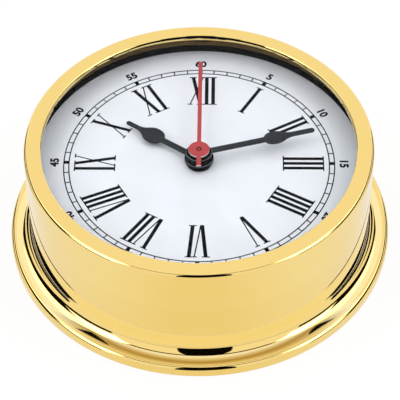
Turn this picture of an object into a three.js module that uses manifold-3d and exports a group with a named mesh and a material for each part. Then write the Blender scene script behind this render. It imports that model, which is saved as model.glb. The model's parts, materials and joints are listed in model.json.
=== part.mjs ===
// A round marine wall clock on its back: a spun brass case with glass, dial and hands,
// driven by a quartz movement.
// Millimetres. +Z points out of the dial and +Y to twelve o'clock.
// The rim of the flange stands on Z = 0.
import * as THREE from "three";
import { mergeVertices } from "three/addons/utils/BufferGeometryUtils.js";
import Module from "manifold-3d";

// Gaps between pieces
const SEAT = 0.1; // between flat faces that rest on each other
const SLIP = 0.3; // around a piece that drops into another
const RUNNING = 0.08; // around an arbor in its bearing or a hand on its pipe

// Case, spun from one brass sheet
const FLANGE_RADIUS = 75;
const FLANGE_WIDTH = 8.25; // from the body out to the edge of the rim
const FLANGE_HEIGHT = 4.2;
const CASE_HEIGHT = 47.5;
const SHEET = 1.2;
const RIM_FILLET = 1.6;
const COVE_RADIUS = 3.8; // hollow between flange and body
const LIP_WIDTH = 6.75; // front ring that holds the glass, its inner edge rolled down to the glass
const LIP_FILLET = 1.6;

// Glass, the rings under it and the dial
const GASKET_THICKNESS = 0.4;
const GLASS_THICKNESS = 1.5;
const RING_HEIGHT = 2;
const RING_LEDGE = 0.6; // how far the rings stand in from the lip
const RING_CHAMFER = 0.5;
const SPACER_BAND = 1.8; // height of the spacer that shows above the dial
const SPACER_UNDERCUT = 3.2;
const DIAL_DEPTH = 11.5; // from the front of the lip down to the dial
const DIAL_THICKNESS = 0.8;

// Back: support ring, plate, lugs and screws
const SUPPORT_WALL = 1.6;
const SUPPORT_FLANGE = 3.4;
const PLATE_THICKNESS = 1.2;
const PLATE_RADIUS_OF_OPENING = 42;
const KEYHOLE_HEAD_RADIUS = 4.2;
const KEYHOLE_SLOT_RADIUS = 2.2;
const KEYHOLE_TRAVEL = 6.5;
const KEYHOLE_WEB = 2.4; // between the big opening and the head of the keyhole
const LUG_COUNT = 3;
const LUG_HEIGHT = 9;
const LUG_HALF_ANGLE = 0.08;
const SCREW_RADIUS = 1.2;
const SCREW_LENGTH = 8;
const SCREW_HEAD_RADIUS = 2.3;
const SCREW_HEAD_HEIGHT = 1;
const SCREW_SLOT_WIDTH = 0.6;
const SCREW_SLOT_DEPTH = 0.5;

// Movement housing
const MOVEMENT_SIDE = 56;
const TRAIN_LENGTH = 53.4; // room along the battery for the wheels, the coil and the posts
const MOVEMENT_DEPTH = 16;
const MOVEMENT_CORNER = 4;
const MOVEMENT_WALL = 1.3;
const PAD_THICKNESS = 0.6; // rubber between movement and dial
const PARTITION_THICKNESS = 1.2; // wall between wheels and battery
const BRIDGE_THICKNESS = 0.9;
const POST_RADIUS = 1.6;
const PIVOT_DEPTH = 0.7;
const PIVOT_RADIUS = 0.4;
const STUD_RADIUS = 0.8; // fixed stud that the minute wheel turns on

// Centre bush with its washer and nut
const BUSH_RADIUS = 3.5;
const BUSH_WALL = 0.8;
const BUSH_COLLAR_WIDTH = 1.3;
const BUSH_COLLAR_HEIGHT = 0.6;
const BUSH_REACH = 1.5; // above the dial
const WASHER_RADIUS = 4.9;
const WASHER_THICKNESS = 0.3;
const NUT_HALF_FLATS = 4.4;
const NUT_HEIGHT = 0.9;

// Pipes of the three hands, each inside the next
const SECOND_ARBOR_RADIUS = 0.75;
const PIPE_PLAY = 0.2;
const PIPE_WALL = 0.75;

// Gear train: teeth of each wheel and of the pinion that it meshes with
const GEAR_THICKNESS = 1;
const LAYER_PITCH = 1.9; // from one layer of wheels to the next
const FIRST_LAYER = 1; // from the front wall to the middle of the first layer
const ADDENDUM = 0.9; // tooth heights and widths, as shares of the module and of half a pitch
const DEDENDUM = 1.25;
const TOOTH_ROOT = 0.66;
const TOOTH_TIP = 0.25;
const PINION_TEETH = 8;
const ROTOR_WHEEL_TEETH = 40;
const SECOND_WHEEL_TEETH = 48;
const THIRD_WHEEL_TEETH = 60;
const CENTRE_WHEEL_TEETH = 64;
const MINUTE_WHEEL_TEETH = 24;
const HOUR_WHEEL_TEETH = 32;
const THIRD_MODULE = 0.34; // second pinion and third wheel
const MOTION_MODULE = 0.6; // cannon pinion and minute wheel
const SECOND_MODULE = 0.37; // intermediate pinion and second wheel
const ROTOR_MODULE = 0.31; // rotor pinion and intermediate wheel
const THIRD_ANGLE = 155; // directions of the side arbors, in degrees from +X
const MOTION_ANGLE = 45;
const INTERMEDIATE_ANGLE = 10;
const ROTOR_ANGLE = 0; // seen from the intermediate arbor
const CLUTCH_SPRING_RADIUS = 3.6;
const CLUTCH_SPRING_THICKNESS = 0.2;
const CLUTCH_SPRING_DISH = 0.3;

// Stepping motor and circuit
const MAGNET_RADIUS = 2.6;
const MAGNET_HEIGHT = 2.2;
const STATOR_THICKNESS = 0.8;
const STATOR_RING = 1.7; // width of the stator around the rotor
const STATOR_GAP = 0.5;
const COIL_Y = 22;
const COIL_LEFT = 2;
const COIL_RIGHT = 24.5;
const COIL_PAD = 4.2; // length of the stator's pad at each end of the coil
const COIL_HALF = 2;
const CORE_HALF_WIDTH = 1.2;
const CORE_THICKNESS = 0.8;
const BOBBIN_WALL = 0.5;
const BOARD_LEFT = -20;
const BOARD_LENGTH = 20;
const BOARD_WIDTH = 8;
const BOARD_THICKNESS = 0.8;
const CHIP_RADIUS = 2.6;
const CHIP_HEIGHT = 1;
const CRYSTAL_RADIUS = 1;
const CRYSTAL_LENGTH = 6;

// Setting shaft and knob
const SETTING_RADIUS = 1.5;
const KNOB_RADIUS = 6;
const KNOB_HEIGHT = 3.5;
const KNOB_RIDGES = 24;
const KNOB_RIDGE_DEPTH = 0.5;
const KNOB_WALL = 0.8;

// Battery, size AA, and its contacts
const BATTERY_RADIUS = 7.1;
const BATTERY_LENGTH = 49;
const BATTERY_NUB_RADIUS = 2.7;
const BATTERY_NUB_LENGTH = 1.2;
const BATTERY_EDGE = 0.6;
const CONTACT_THICKNESS = 0.4;
const CONTACT_WIDTH = 8;
const CONTACT_ROOM = 3.2; // for the contacts at both ends of the battery

// Hands: radii from the centre, half widths and thicknesses
const BLADE_THICKNESS = 0.5;
const HAND_GAP = 0.4;
const HOUR_BOSS_RADIUS = 5.65;
const HOUR_BOSS_HEIGHT = 1.6;
const MINUTE_BOSS_RADIUS = 5;
const MINUTE_BOSS_HEIGHT = 2.2;
const BOSS_EDGE = 0.35;
const HOUR_BLADE = {
  rise: 0.3, // of the blade above the foot of the boss
  shaft: 1.1,
  neck: 17.6,
  belly: 21.8,
  bellyHalf: 3.9,
  taper: 29.5,
  tipHalf: 0.95,
  tip: 34.7,
};
const MINUTE_BLADE = {
  rise: 1.35,
  shaft: 1.2,
  neck: 26.4,
  belly: 30,
  bellyHalf: 3.3,
  taper: 38,
  tipHalf: 1.1,
  tip: 46.4,
};
const SECOND_DISC_RADIUS = 4.1;
const SECOND_TIP = 48.9;
const SECOND_TAIL = 8.7;
const SECOND_HALF_WIDTH = 0.78;
const SECOND_TAIL_HALF_WIDTH = 0.9;
const COLLET_RADIUS = 1.6;
const COLLET_HEIGHT = 0.7;
const DIMPLE_RADIUS = 0.45;
const DIMPLE_DEPTH = 0.15;
const TIME_SHOWN = { hours: 10, minutes: 12.3, seconds: 0 };
const HOUR_HAND_LAG = 1.5; // degrees that the hour hand was pressed on behind its place

// Facets of round surfaces
const LARGE_FACETS = 48;
const SMALL_FACETS = 16;
const FILLET_FACETS = 3;
const CURVE_FACETS = 5;

// Levels worked out from the sizes above, from the lip down
const BODY_RADIUS = FLANGE_RADIUS - FLANGE_WIDTH;
const INNER_RADIUS = BODY_RADIUS - SHEET;
const OPENING_RADIUS = BODY_RADIUS - LIP_WIDTH;
const RING_RADIUS = OPENING_RADIUS - RING_LEDGE;
const DROP_IN_RADIUS = INNER_RADIUS - SLIP;
const LIP_Z = CASE_HEIGHT - SHEET;
const GASKET_Z = LIP_Z - SEAT - GASKET_THICKNESS;
const LIP_ROLL = CASE_HEIGHT - GASKET_Z;
const GLASS_Z = GASKET_Z - SEAT - GLASS_THICKNESS;
const RING_Z = GLASS_Z - SEAT - RING_HEIGHT;
const SPACER_TOP = RING_Z - SEAT;
const DIAL_TOP = CASE_HEIGHT - DIAL_DEPTH;
const DIAL_Z = DIAL_TOP - DIAL_THICKNESS;
const PAD_Z = DIAL_Z - SEAT - PAD_THICKNESS;
const MOVEMENT_TOP = PAD_Z - SEAT;
const MOVEMENT_Z = MOVEMENT_TOP - MOVEMENT_DEPTH;
const PLATE_TOP = FLANGE_HEIGHT - SHEET - SEAT;
const PLATE_Z = PLATE_TOP - PLATE_THICKNESS;
const SUPPORT_RADIUS = RING_RADIUS + SUPPORT_WALL;
const LUG_RADIUS = (SUPPORT_RADIUS + INNER_RADIUS) / 2;

// Inside the movement
const MOVEMENT_HALF = MOVEMENT_SIDE / 2;
const CAVITY_HALF = MOVEMENT_HALF - MOVEMENT_WALL;
const BATTERY_ROOM = BATTERY_LENGTH + BATTERY_NUB_LENGTH + CONTACT_ROOM;
const CAVITY_HALF_LENGTH = Math.max(TRAIN_LENGTH, BATTERY_ROOM) / 2;
const MOVEMENT_HALF_LENGTH = CAVITY_HALF_LENGTH + MOVEMENT_WALL;
const FLOOR_Z = MOVEMENT_TOP - MOVEMENT_WALL;
const COVER_TOP = MOVEMENT_Z + MOVEMENT_WALL;
const BATTERY_Y = BATTERY_RADIUS + RUNNING - CAVITY_HALF;
const PARTITION_Y = BATTERY_Y + BATTERY_RADIUS + RUNNING;
const WHEELS_Y = PARTITION_Y + PARTITION_THICKNESS;
const LAYERS = [0, 1, 2].map((layer) => FLOOR_Z - FIRST_LAYER - layer * LAYER_PITCH);
const [HOUR_LAYER, MINUTE_LAYER, CENTRE_LAYER] = LAYERS;
const BRIDGE_TOP = CENTRE_LAYER - LAYER_PITCH / 2 - SEAT;
const BRIDGE_Z = BRIDGE_TOP - BRIDGE_THICKNESS;
const THIRD_LAYER = BRIDGE_Z - FIRST_LAYER;
const SECOND_LAYER = THIRD_LAYER - LAYER_PITCH;
const ROTOR_LAYER = SECOND_LAYER - LAYER_PITCH;
const MAGNET_Z = ROTOR_LAYER + GEAR_THICKNESS / 2 + SLIP;
const STATOR_Z = MAGNET_Z + (MAGNET_HEIGHT - STATOR_THICKNESS) / 2;
const MINUTE_BORE = SECOND_ARBOR_RADIUS + PIPE_PLAY;
const MINUTE_RADIUS = MINUTE_BORE + PIPE_WALL;
const HOUR_BORE = MINUTE_RADIUS + PIPE_PLAY;
const HOUR_RADIUS = HOUR_BORE + PIPE_WALL / 2;
const BUSH_BORE = BUSH_RADIUS - BUSH_WALL;

// Levels of the hands above the dial
const BUSH_TOP = DIAL_TOP + BUSH_REACH;
const HOUR_HAND_Z = BUSH_TOP + HAND_GAP;
const HOUR_HAND_TOP = HOUR_HAND_Z + HOUR_BOSS_HEIGHT;
const MINUTE_HAND_Z = HOUR_HAND_TOP + HAND_GAP;
const MINUTE_HAND_TOP = MINUTE_HAND_Z + MINUTE_BOSS_HEIGHT;
const SECOND_HAND_Z = MINUTE_HAND_TOP + HAND_GAP;

// Arbors beside the centre.
// Two pairs of gears share one centre distance, so one module follows from the other.
const centreDistance = (teethA, teethB, module) => ((teethA + teethB) * module) / 2;
const sharedModule = (teethA, teethB, distance) => (2 * distance) / (teethA + teethB);
const THIRD_DISTANCE = centreDistance(PINION_TEETH, THIRD_WHEEL_TEETH, THIRD_MODULE);
const CENTRE_MODULE = sharedModule(PINION_TEETH, CENTRE_WHEEL_TEETH, THIRD_DISTANCE);
const MOTION_DISTANCE = centreDistance(PINION_TEETH, MINUTE_WHEEL_TEETH, MOTION_MODULE);
const HOUR_MODULE = sharedModule(PINION_TEETH, HOUR_WHEEL_TEETH, MOTION_DISTANCE);
const INTERMEDIATE_DISTANCE = centreDistance(PINION_TEETH, SECOND_WHEEL_TEETH, SECOND_MODULE);
const ROTOR_DISTANCE = centreDistance(PINION_TEETH, ROTOR_WHEEL_TEETH, ROTOR_MODULE);
const CENTRE = new THREE.Vector2(0, 0);
const THIRD_ARBOR = stepFrom(CENTRE, THIRD_DISTANCE, THIRD_ANGLE);
const MOTION_ARBOR = stepFrom(CENTRE, MOTION_DISTANCE, MOTION_ANGLE);
const SETTING_ARBOR = stepFrom(MOTION_ARBOR, MOTION_DISTANCE, MOTION_ANGLE);
const INTERMEDIATE_ARBOR = stepFrom(CENTRE, INTERMEDIATE_DISTANCE, INTERMEDIATE_ANGLE);
const ROTOR_ARBOR = stepFrom(INTERMEDIATE_ARBOR, ROTOR_DISTANCE, ROTOR_ANGLE);
const POST_INSET = POST_RADIUS + 2 * SLIP;
const POSTS = [
  new THREE.Vector2(POST_INSET - CAVITY_HALF_LENGTH, COIL_Y),
  new THREE.Vector2(POST_INSET - CAVITY_HALF_LENGTH, WHEELS_Y + POST_INSET),
  new THREE.Vector2(CAVITY_HALF_LENGTH - POST_INSET, WHEELS_Y + POST_INSET),
  new THREE.Vector2(CAVITY_HALF_LENGTH - POST_INSET, SETTING_ARBOR.y),
];

const FINISHES = {
  brass: { color: 0xe2b85a, metalness: 1, roughness: 0.15 },
  steel: { color: 0xb9bcc0, metalness: 1, roughness: 0.35 },
  copper: { color: 0xb8693a, metalness: 1, roughness: 0.4 },
  glass: { color: 0xeef4f4, transparent: true, opacity: 0.2, roughness: 0.02 },
  enamel: { color: 0xf2f2ee, roughness: 0.45 },
  charcoal: { color: 0x3a3e42, roughness: 0.5 },
  red: { color: 0xc9494a, roughness: 0.45 },
  rubber: { color: 0x1a1a1a, roughness: 0.8 },
  blackPlastic: { color: 0x202224, roughness: 0.55 },
  whitePlastic: { color: 0xe8e6df, roughness: 0.5 },
  board: { color: 0x1f6b3a, roughness: 0.5 },
  ferrite: { color: 0x3d3b3a, roughness: 0.7 },
  label: { color: 0x2f6f4f, roughness: 0.35 },
};

const wasm = await Module();
wasm.setup();

// The point at a distance and a direction, in degrees from +X, from another.
function stepFrom(start, distance, degrees) {
  const angle = THREE.MathUtils.degToRad(degrees);
  return new THREE.Vector2(start.x + distance * Math.cos(angle), start.y + distance * Math.sin(angle));
}

// A mesh with its own material.
function piece(name, geometry, finish) {
  const mesh = new THREE.Mesh(geometry, new THREE.MeshStandardMaterial(FINISHES[finish]));
  mesh.name = name;
  return mesh;
}

function toSolid(geometry) {
  const bare = geometry.clone();
  bare.deleteAttribute("normal");
  bare.deleteAttribute("uv");
  const merged = mergeVertices(bare);
  const vertProperties = merged.attributes.position.array;
  const triVerts = new Uint32Array(merged.index.array);
  return new wasm.Manifold(new wasm.Mesh({ numProp: 3, vertProperties, triVerts }));
}

function toGeometry(solid) {
  const mesh = solid.getMesh();
  const geometry = new THREE.BufferGeometry();
  geometry.setAttribute("position", new THREE.BufferAttribute(mesh.vertProperties, 3));
  geometry.setIndex(new THREE.BufferAttribute(mesh.triVerts, 1));
  geometry.computeVertexNormals();
  return geometry;
}

function join(first, ...others) {
  return toGeometry(others.reduce((sum, other) => sum.add(toSolid(other)), toSolid(first)));
}

function cut(base, ...tools) {
  return toGeometry(tools.reduce((rest, tool) => rest.subtract(toSolid(tool)), toSolid(base)));
}

// A profile of [radius, height] pairs, listed counter-clockwise, turned about Z.
// A profile off the axis is closed.
function turned(profile, facets = LARGE_FACETS) {
  const points = profile.map(([radius, height]) => new THREE.Vector2(radius, height));
  if (points[0].x > 0) points.push(points[0].clone());
  return new THREE.LatheGeometry(points, facets).rotateX(Math.PI / 2);
}

// Points of a quarter round from one direction to the next, in quarter turns.
function quarter(radius, height, fillet, fromQuarter, facets = FILLET_FACETS) {
  const points = [];
  for (let i = 0; i <= facets; i++) {
    const angle = ((fromQuarter + i / facets) * Math.PI) / 2;
    points.push([radius + fillet * Math.cos(angle), height + fillet * Math.sin(angle)]);
  }
  return points;
}

function ring(inner, outer, bottom, top, facets = LARGE_FACETS) {
  return turned([[inner, bottom], [outer, bottom], [outer, top], [inner, top]], facets);
}

function rod(radius, bottom, top, place = CENTRE, facets = SMALL_FACETS) {
  const profile = [[0, bottom], [radius, bottom], [radius, top], [0, top]];
  return turned(profile, facets).translate(place.x, place.y, 0);
}

function slab(shape, bottom, top) {
  const settings = { depth: top - bottom, bevelEnabled: false, curveSegments: CURVE_FACETS };
  return new THREE.ExtrudeGeometry(shape, settings).translate(0, 0, bottom);
}

function block(left, right, front, back, bottom, top) {
  const size = [right - left, back - front, top - bottom];
  const middle = [(left + right) / 2, (front + back) / 2, (bottom + top) / 2];
  return new THREE.BoxGeometry(...size).translate(...middle);
}

function polygon(points) {
  return new THREE.Shape(points.map(([x, y]) => new THREE.Vector2(x, y)));
}

function roundedRectangle(left, right, front, back, radius) {
  const shape = new THREE.Shape();
  shape.absarc(right - radius, back - radius, radius, 0, Math.PI / 2);
  shape.absarc(left + radius, back - radius, radius, Math.PI / 2, Math.PI);
  shape.absarc(left + radius, front + radius, radius, Math.PI, Math.PI * 1.5);
  shape.absarc(right - radius, front + radius, radius, Math.PI * 1.5, Math.PI * 2);
  return shape;
}

// Outline of a spur gear with straight flanks, one tooth centred on +X.
function gearOutline(teeth, module) {
  const pitchRadius = (teeth * module) / 2;
  const rootRadius = pitchRadius - DEDENDUM * module;
  const tipRadius = pitchRadius + ADDENDUM * module;
  const halfPitch = Math.PI / teeth;
  const corners = [
    [rootRadius, -TOOTH_ROOT],
    [tipRadius, -TOOTH_TIP],
    [tipRadius, TOOTH_TIP],
    [rootRadius, TOOTH_ROOT],
  ];
  const points = [];
  for (let tooth = 0; tooth < teeth; tooth++) {
    for (const [radius, share] of corners) {
      const angle = (2 * tooth + share) * halfPitch;
      points.push([radius * Math.cos(angle), radius * Math.sin(angle)]);
    }
  }
  return polygon(points);
}

function gear(teeth, module, level, phase = 0) {
  const half = GEAR_THICKNESS / 2;
  return slab(gearOutline(teeth, module), level - half, level + half).rotateZ(phase);
}

// Turn of a gear that puts a gap where the tooth of its partner is.
// The direction goes from the partner to the gear.
function meshPhase(partnerTeeth, partnerPhase, teeth, degrees) {
  const angle = THREE.MathUtils.degToRad(degrees);
  const partnerPitch = (2 * Math.PI) / partnerTeeth;
  const pitch = (2 * Math.PI) / teeth;
  const share = (angle - partnerPhase) / partnerPitch;
  const lead = share - Math.floor(share);
  return angle + Math.PI + (lead + 0.5) * pitch;
}

function at(geometry, place) {
  return geometry.translate(place.x, place.y, 0);
}

function buildCase() {
  const cove = [BODY_RADIUS + COVE_RADIUS, FLANGE_HEIGHT + COVE_RADIUS];
  const roll = [OPENING_RADIUS + LIP_ROLL, CASE_HEIGHT - LIP_ROLL];
  const profile = [
    [FLANGE_RADIUS - SHEET, 0],
    [FLANGE_RADIUS, 0],
    ...quarter(FLANGE_RADIUS - RIM_FILLET, FLANGE_HEIGHT - RIM_FILLET, RIM_FILLET, 0),
    ...quarter(...cove, COVE_RADIUS, 2).reverse(),
    ...quarter(BODY_RADIUS - LIP_FILLET, CASE_HEIGHT - LIP_FILLET, LIP_FILLET, 0),
    ...quarter(...roll, LIP_ROLL, 1),
    ...quarter(...roll, LIP_ROLL - SHEET, 1).reverse(),
    [INNER_RADIUS, LIP_Z],
    ...quarter(...cove, COVE_RADIUS + SHEET, 2),
    [FLANGE_RADIUS - SHEET, FLANGE_HEIGHT - SHEET],
  ];
  return [piece("case", turned(profile), "brass")];
}

function buildGlazing() {
  const gasketInner = OPENING_RADIUS + LIP_ROLL + SEAT;
  const gasket = ring(gasketInner, DROP_IN_RADIUS, GASKET_Z, GASKET_Z + GASKET_THICKNESS);
  const glass = rod(DROP_IN_RADIUS, GLASS_Z, GLASS_Z + GLASS_THICKNESS, CENTRE, LARGE_FACETS);
  const retainer = turned([
    [RING_RADIUS, RING_Z],
    [DROP_IN_RADIUS, RING_Z],
    [DROP_IN_RADIUS, RING_Z + RING_HEIGHT],
    [RING_RADIUS + RING_CHAMFER, RING_Z + RING_HEIGHT],
    [RING_RADIUS, RING_Z + RING_HEIGHT - RING_CHAMFER],
  ]);
  const undercutRadius = RING_RADIUS + SPACER_UNDERCUT;
  const spacer = turned([
    [undercutRadius, DIAL_TOP + SEAT],
    [DROP_IN_RADIUS, DIAL_TOP + SEAT],
    [DROP_IN_RADIUS, SPACER_TOP],
    [RING_RADIUS, SPACER_TOP],
    [RING_RADIUS, SPACER_TOP - SPACER_BAND],
    [undercutRadius, SPACER_TOP - SPACER_BAND],
  ]);
  return [
    piece("glass_gasket", gasket, "rubber"),
    piece("glass", glass, "glass"),
    piece("glass_retaining_ring", retainer, "brass"),
    piece("dial_spacer_ring", spacer, "blackPlastic"),
    piece("dial", ring(BUSH_RADIUS + RUNNING, DROP_IN_RADIUS, DIAL_Z, DIAL_TOP), "enamel"),
  ];
}

function buildBack() {
  const supportTop = DIAL_Z - SEAT;
  const support = turned([
    [RING_RADIUS, PLATE_TOP + SEAT],
    [SUPPORT_RADIUS, PLATE_TOP + SEAT],
    [SUPPORT_RADIUS, supportTop - SUPPORT_WALL],
    [SUPPORT_RADIUS + SUPPORT_FLANGE, supportTop - SUPPORT_WALL],
    [SUPPORT_RADIUS + SUPPORT_FLANGE, supportTop],
    [RING_RADIUS, supportTop],
  ]);
  const keyholeY = PLATE_RADIUS_OF_OPENING + KEYHOLE_WEB + KEYHOLE_HEAD_RADIUS;
  const head = new THREE.Vector2(0, keyholeY);
  const slotEnd = new THREE.Vector2(0, keyholeY + KEYHOLE_TRAVEL);
  const under = PLATE_Z - SLIP;
  const over = PLATE_TOP + SLIP;
  const plateRadius = FLANGE_RADIUS - SHEET - SLIP;
  const lugs = [];
  const screws = [];
  const holes = [];
  for (let i = 0; i < LUG_COUNT; i++) {
    const degrees = -90 + (360 * i) / LUG_COUNT;
    const place = stepFrom(CENTRE, LUG_RADIUS, degrees);
    holes.push(rod(SCREW_RADIUS + SLIP, under, over, place));
    lugs.push(piece(`case_lug_${i + 1}`, lug(degrees, place), "brass"));
    screws.push(piece(`back_screw_${i + 1}`, at(screw(), place), "steel"));
  }
  const plate = cut(
    ring(PLATE_RADIUS_OF_OPENING, plateRadius, PLATE_Z, PLATE_TOP),
    rod(KEYHOLE_HEAD_RADIUS, under, over, head),
    rod(KEYHOLE_SLOT_RADIUS, under, over, slotEnd),
    block(-KEYHOLE_SLOT_RADIUS, KEYHOLE_SLOT_RADIUS, head.y, slotEnd.y, under, over),
    ...holes,
  );
  return [
    piece("dial_support_ring", support, "blackPlastic"),
    piece("back_plate", plate, "steel"),
    ...lugs,
    ...screws,
  ];
}

// A block that follows the inside of the case wall, drilled for its screw.
function lug(degrees, place) {
  const inner = SUPPORT_RADIUS + SLIP;
  const outer = INNER_RADIUS * Math.cos(Math.PI / LARGE_FACETS) - SEAT;
  const middle = THREE.MathUtils.degToRad(degrees);
  const shape = new THREE.Shape();
  shape.absarc(0, 0, outer, middle - LUG_HALF_ANGLE, middle + LUG_HALF_ANGLE, false);
  shape.absarc(0, 0, inner, middle + LUG_HALF_ANGLE, middle - LUG_HALF_ANGLE, true);
  const bottom = PLATE_TOP + SEAT;
  const top = bottom + LUG_HEIGHT;
  return cut(slab(shape, bottom, top), rod(SCREW_RADIUS + RUNNING, bottom - SLIP, top + SLIP, place));
}

function screw() {
  const headTop = PLATE_Z - SEAT;
  const headZ = headTop - SCREW_HEAD_HEIGHT;
  const body = turned([
    [0, headZ],
    [SCREW_HEAD_RADIUS, headZ],
    [SCREW_HEAD_RADIUS, headTop],
    [SCREW_RADIUS, headTop],
    [SCREW_RADIUS, headTop + SCREW_LENGTH],
    [0, headTop + SCREW_LENGTH],
  ], SMALL_FACETS);
  const half = SCREW_SLOT_WIDTH / 2;
  const reach = SCREW_HEAD_RADIUS + SLIP;
  return cut(body, block(-reach, reach, -half, half, headZ - SLIP, headZ + SCREW_SLOT_DEPTH));
}

function buildHousing() {
  const outline = [-MOVEMENT_HALF_LENGTH, MOVEMENT_HALF_LENGTH, -MOVEMENT_HALF, MOVEMENT_HALF];
  const wheelRoom = [-CAVITY_HALF_LENGTH, CAVITY_HALF_LENGTH, WHEELS_Y, CAVITY_HALF];
  const batteryBay = [-CAVITY_HALF_LENGTH, CAVITY_HALF_LENGTH, -CAVITY_HALF, PARTITION_Y];
  const below = MOVEMENT_Z - SLIP;
  const pivot = PIVOT_RADIUS + RUNNING;
  const frontPivots = [THIRD_ARBOR, SETTING_ARBOR];
  const shell = cut(
    slab(roundedRectangle(...outline, MOVEMENT_CORNER), MOVEMENT_Z, MOVEMENT_TOP),
    block(...wheelRoom, below, FLOOR_Z),
    block(...batteryBay, below, FLOOR_Z),
    rod(BUSH_RADIUS + RUNNING, FLOOR_Z - SLIP, MOVEMENT_TOP + SLIP),
    rod(BUSH_RADIUS + BUSH_COLLAR_WIDTH + SEAT, FLOOR_Z - SLIP, FLOOR_Z + BUSH_COLLAR_HEIGHT + SEAT),
    ...frontPivots.map((place) => rod(pivot, FLOOR_Z - SLIP, FLOOR_Z + PIVOT_DEPTH, place)),
  );
  const frontPosts = POSTS.map((place) => rod(POST_RADIUS, BRIDGE_TOP + SEAT, FLOOR_Z + SEAT, place));
  const stud = rod(STUD_RADIUS, MINUTE_LAYER - GEAR_THICKNESS / 2, FLOOR_Z + SEAT, MOTION_ARBOR);
  const insideHalf = CAVITY_HALF_LENGTH - SLIP;
  const inside = [-insideHalf, insideHalf, WHEELS_Y + SLIP, CAVITY_HALF - SLIP];
  const rearPosts = POSTS.map((place) => rod(POST_RADIUS, COVER_TOP - SEAT, BRIDGE_Z - SEAT, place));
  const rearPivots = [THIRD_ARBOR, INTERMEDIATE_ARBOR, ROTOR_ARBOR, CENTRE];
  const cover = cut(
    join(block(...inside, MOVEMENT_Z, COVER_TOP), ...rearPosts),
    rod(SETTING_RADIUS + PIPE_PLAY, below, COVER_TOP + SLIP, SETTING_ARBOR),
    ...rearPivots.map((place) => rod(pivot, COVER_TOP - PIVOT_DEPTH, COVER_TOP + SLIP, place)),
  );
  const thirdPinion = outerRadius(PINION_TEETH, CENTRE_MODULE);
  const bridge = cut(
    block(...inside, BRIDGE_Z, BRIDGE_TOP),
    rod(MINUTE_BORE, BRIDGE_Z - SLIP, BRIDGE_TOP + SLIP),
    rod(SETTING_RADIUS + PIPE_PLAY, BRIDGE_Z - SLIP, BRIDGE_TOP + SLIP, SETTING_ARBOR),
    rod(thirdPinion + PIPE_PLAY, BRIDGE_Z - SLIP, BRIDGE_TOP + SLIP, THIRD_ARBOR),
    rod(pivot, BRIDGE_Z - SLIP, BRIDGE_Z + PIVOT_DEPTH, INTERMEDIATE_ARBOR),
    rod(pivot, BRIDGE_Z - SLIP, BRIDGE_Z + PIVOT_DEPTH, ROTOR_ARBOR),
  );
  const padHole = new THREE.Path();
  padHole.absarc(0, 0, BUSH_RADIUS + SLIP, 0, Math.PI * 2);
  const padShape = roundedRectangle(...outline, MOVEMENT_CORNER);
  padShape.holes.push(padHole);
  return [
    piece("movement_tray", join(shell, stud, ...frontPosts), "blackPlastic"),
    piece("movement_rear_cover", cover, "blackPlastic"),
    piece("movement_pad", slab(padShape, PAD_Z, PAD_Z + PAD_THICKNESS), "rubber"),
    piece("train_bridge", bridge, "whitePlastic"),
  ];
}

function outerRadius(teeth, module) {
  return (teeth * module) / 2 + ADDENDUM * module;
}

function buildBush() {
  const collarRadius = BUSH_RADIUS + BUSH_COLLAR_WIDTH;
  const collarTop = FLOOR_Z + BUSH_COLLAR_HEIGHT;
  const bush = turned([
    [BUSH_BORE, FLOOR_Z],
    [collarRadius, FLOOR_Z],
    [collarRadius, collarTop],
    [BUSH_RADIUS, collarTop],
    [BUSH_RADIUS, BUSH_TOP],
    [BUSH_BORE, BUSH_TOP],
  ], SMALL_FACETS);
  const washerZ = DIAL_TOP + SEAT;
  const nutZ = washerZ + WASHER_THICKNESS + SEAT;
  const hexagon = new THREE.CylinderGeometry(1, 1, NUT_HEIGHT, 6).rotateX(Math.PI / 2);
  const cornerRadius = NUT_HALF_FLATS / Math.cos(Math.PI / 6);
  hexagon.scale(cornerRadius, cornerRadius, 1).rotateZ(Math.PI / 6);
  hexagon.translate(0, 0, nutZ + NUT_HEIGHT / 2);
  const bore = rod(BUSH_RADIUS + RUNNING, nutZ - SLIP, nutZ + NUT_HEIGHT + SLIP);
  const washerTop = washerZ + WASHER_THICKNESS;
  const washer = ring(BUSH_RADIUS + RUNNING, WASHER_RADIUS, washerZ, washerTop, SMALL_FACETS);
  return [
    piece("centre_bush", bush, "brass"),
    piece("bush_washer", washer, "steel"),
    piece("bush_nut", cut(hexagon, bore), "steel"),
  ];
}

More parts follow.
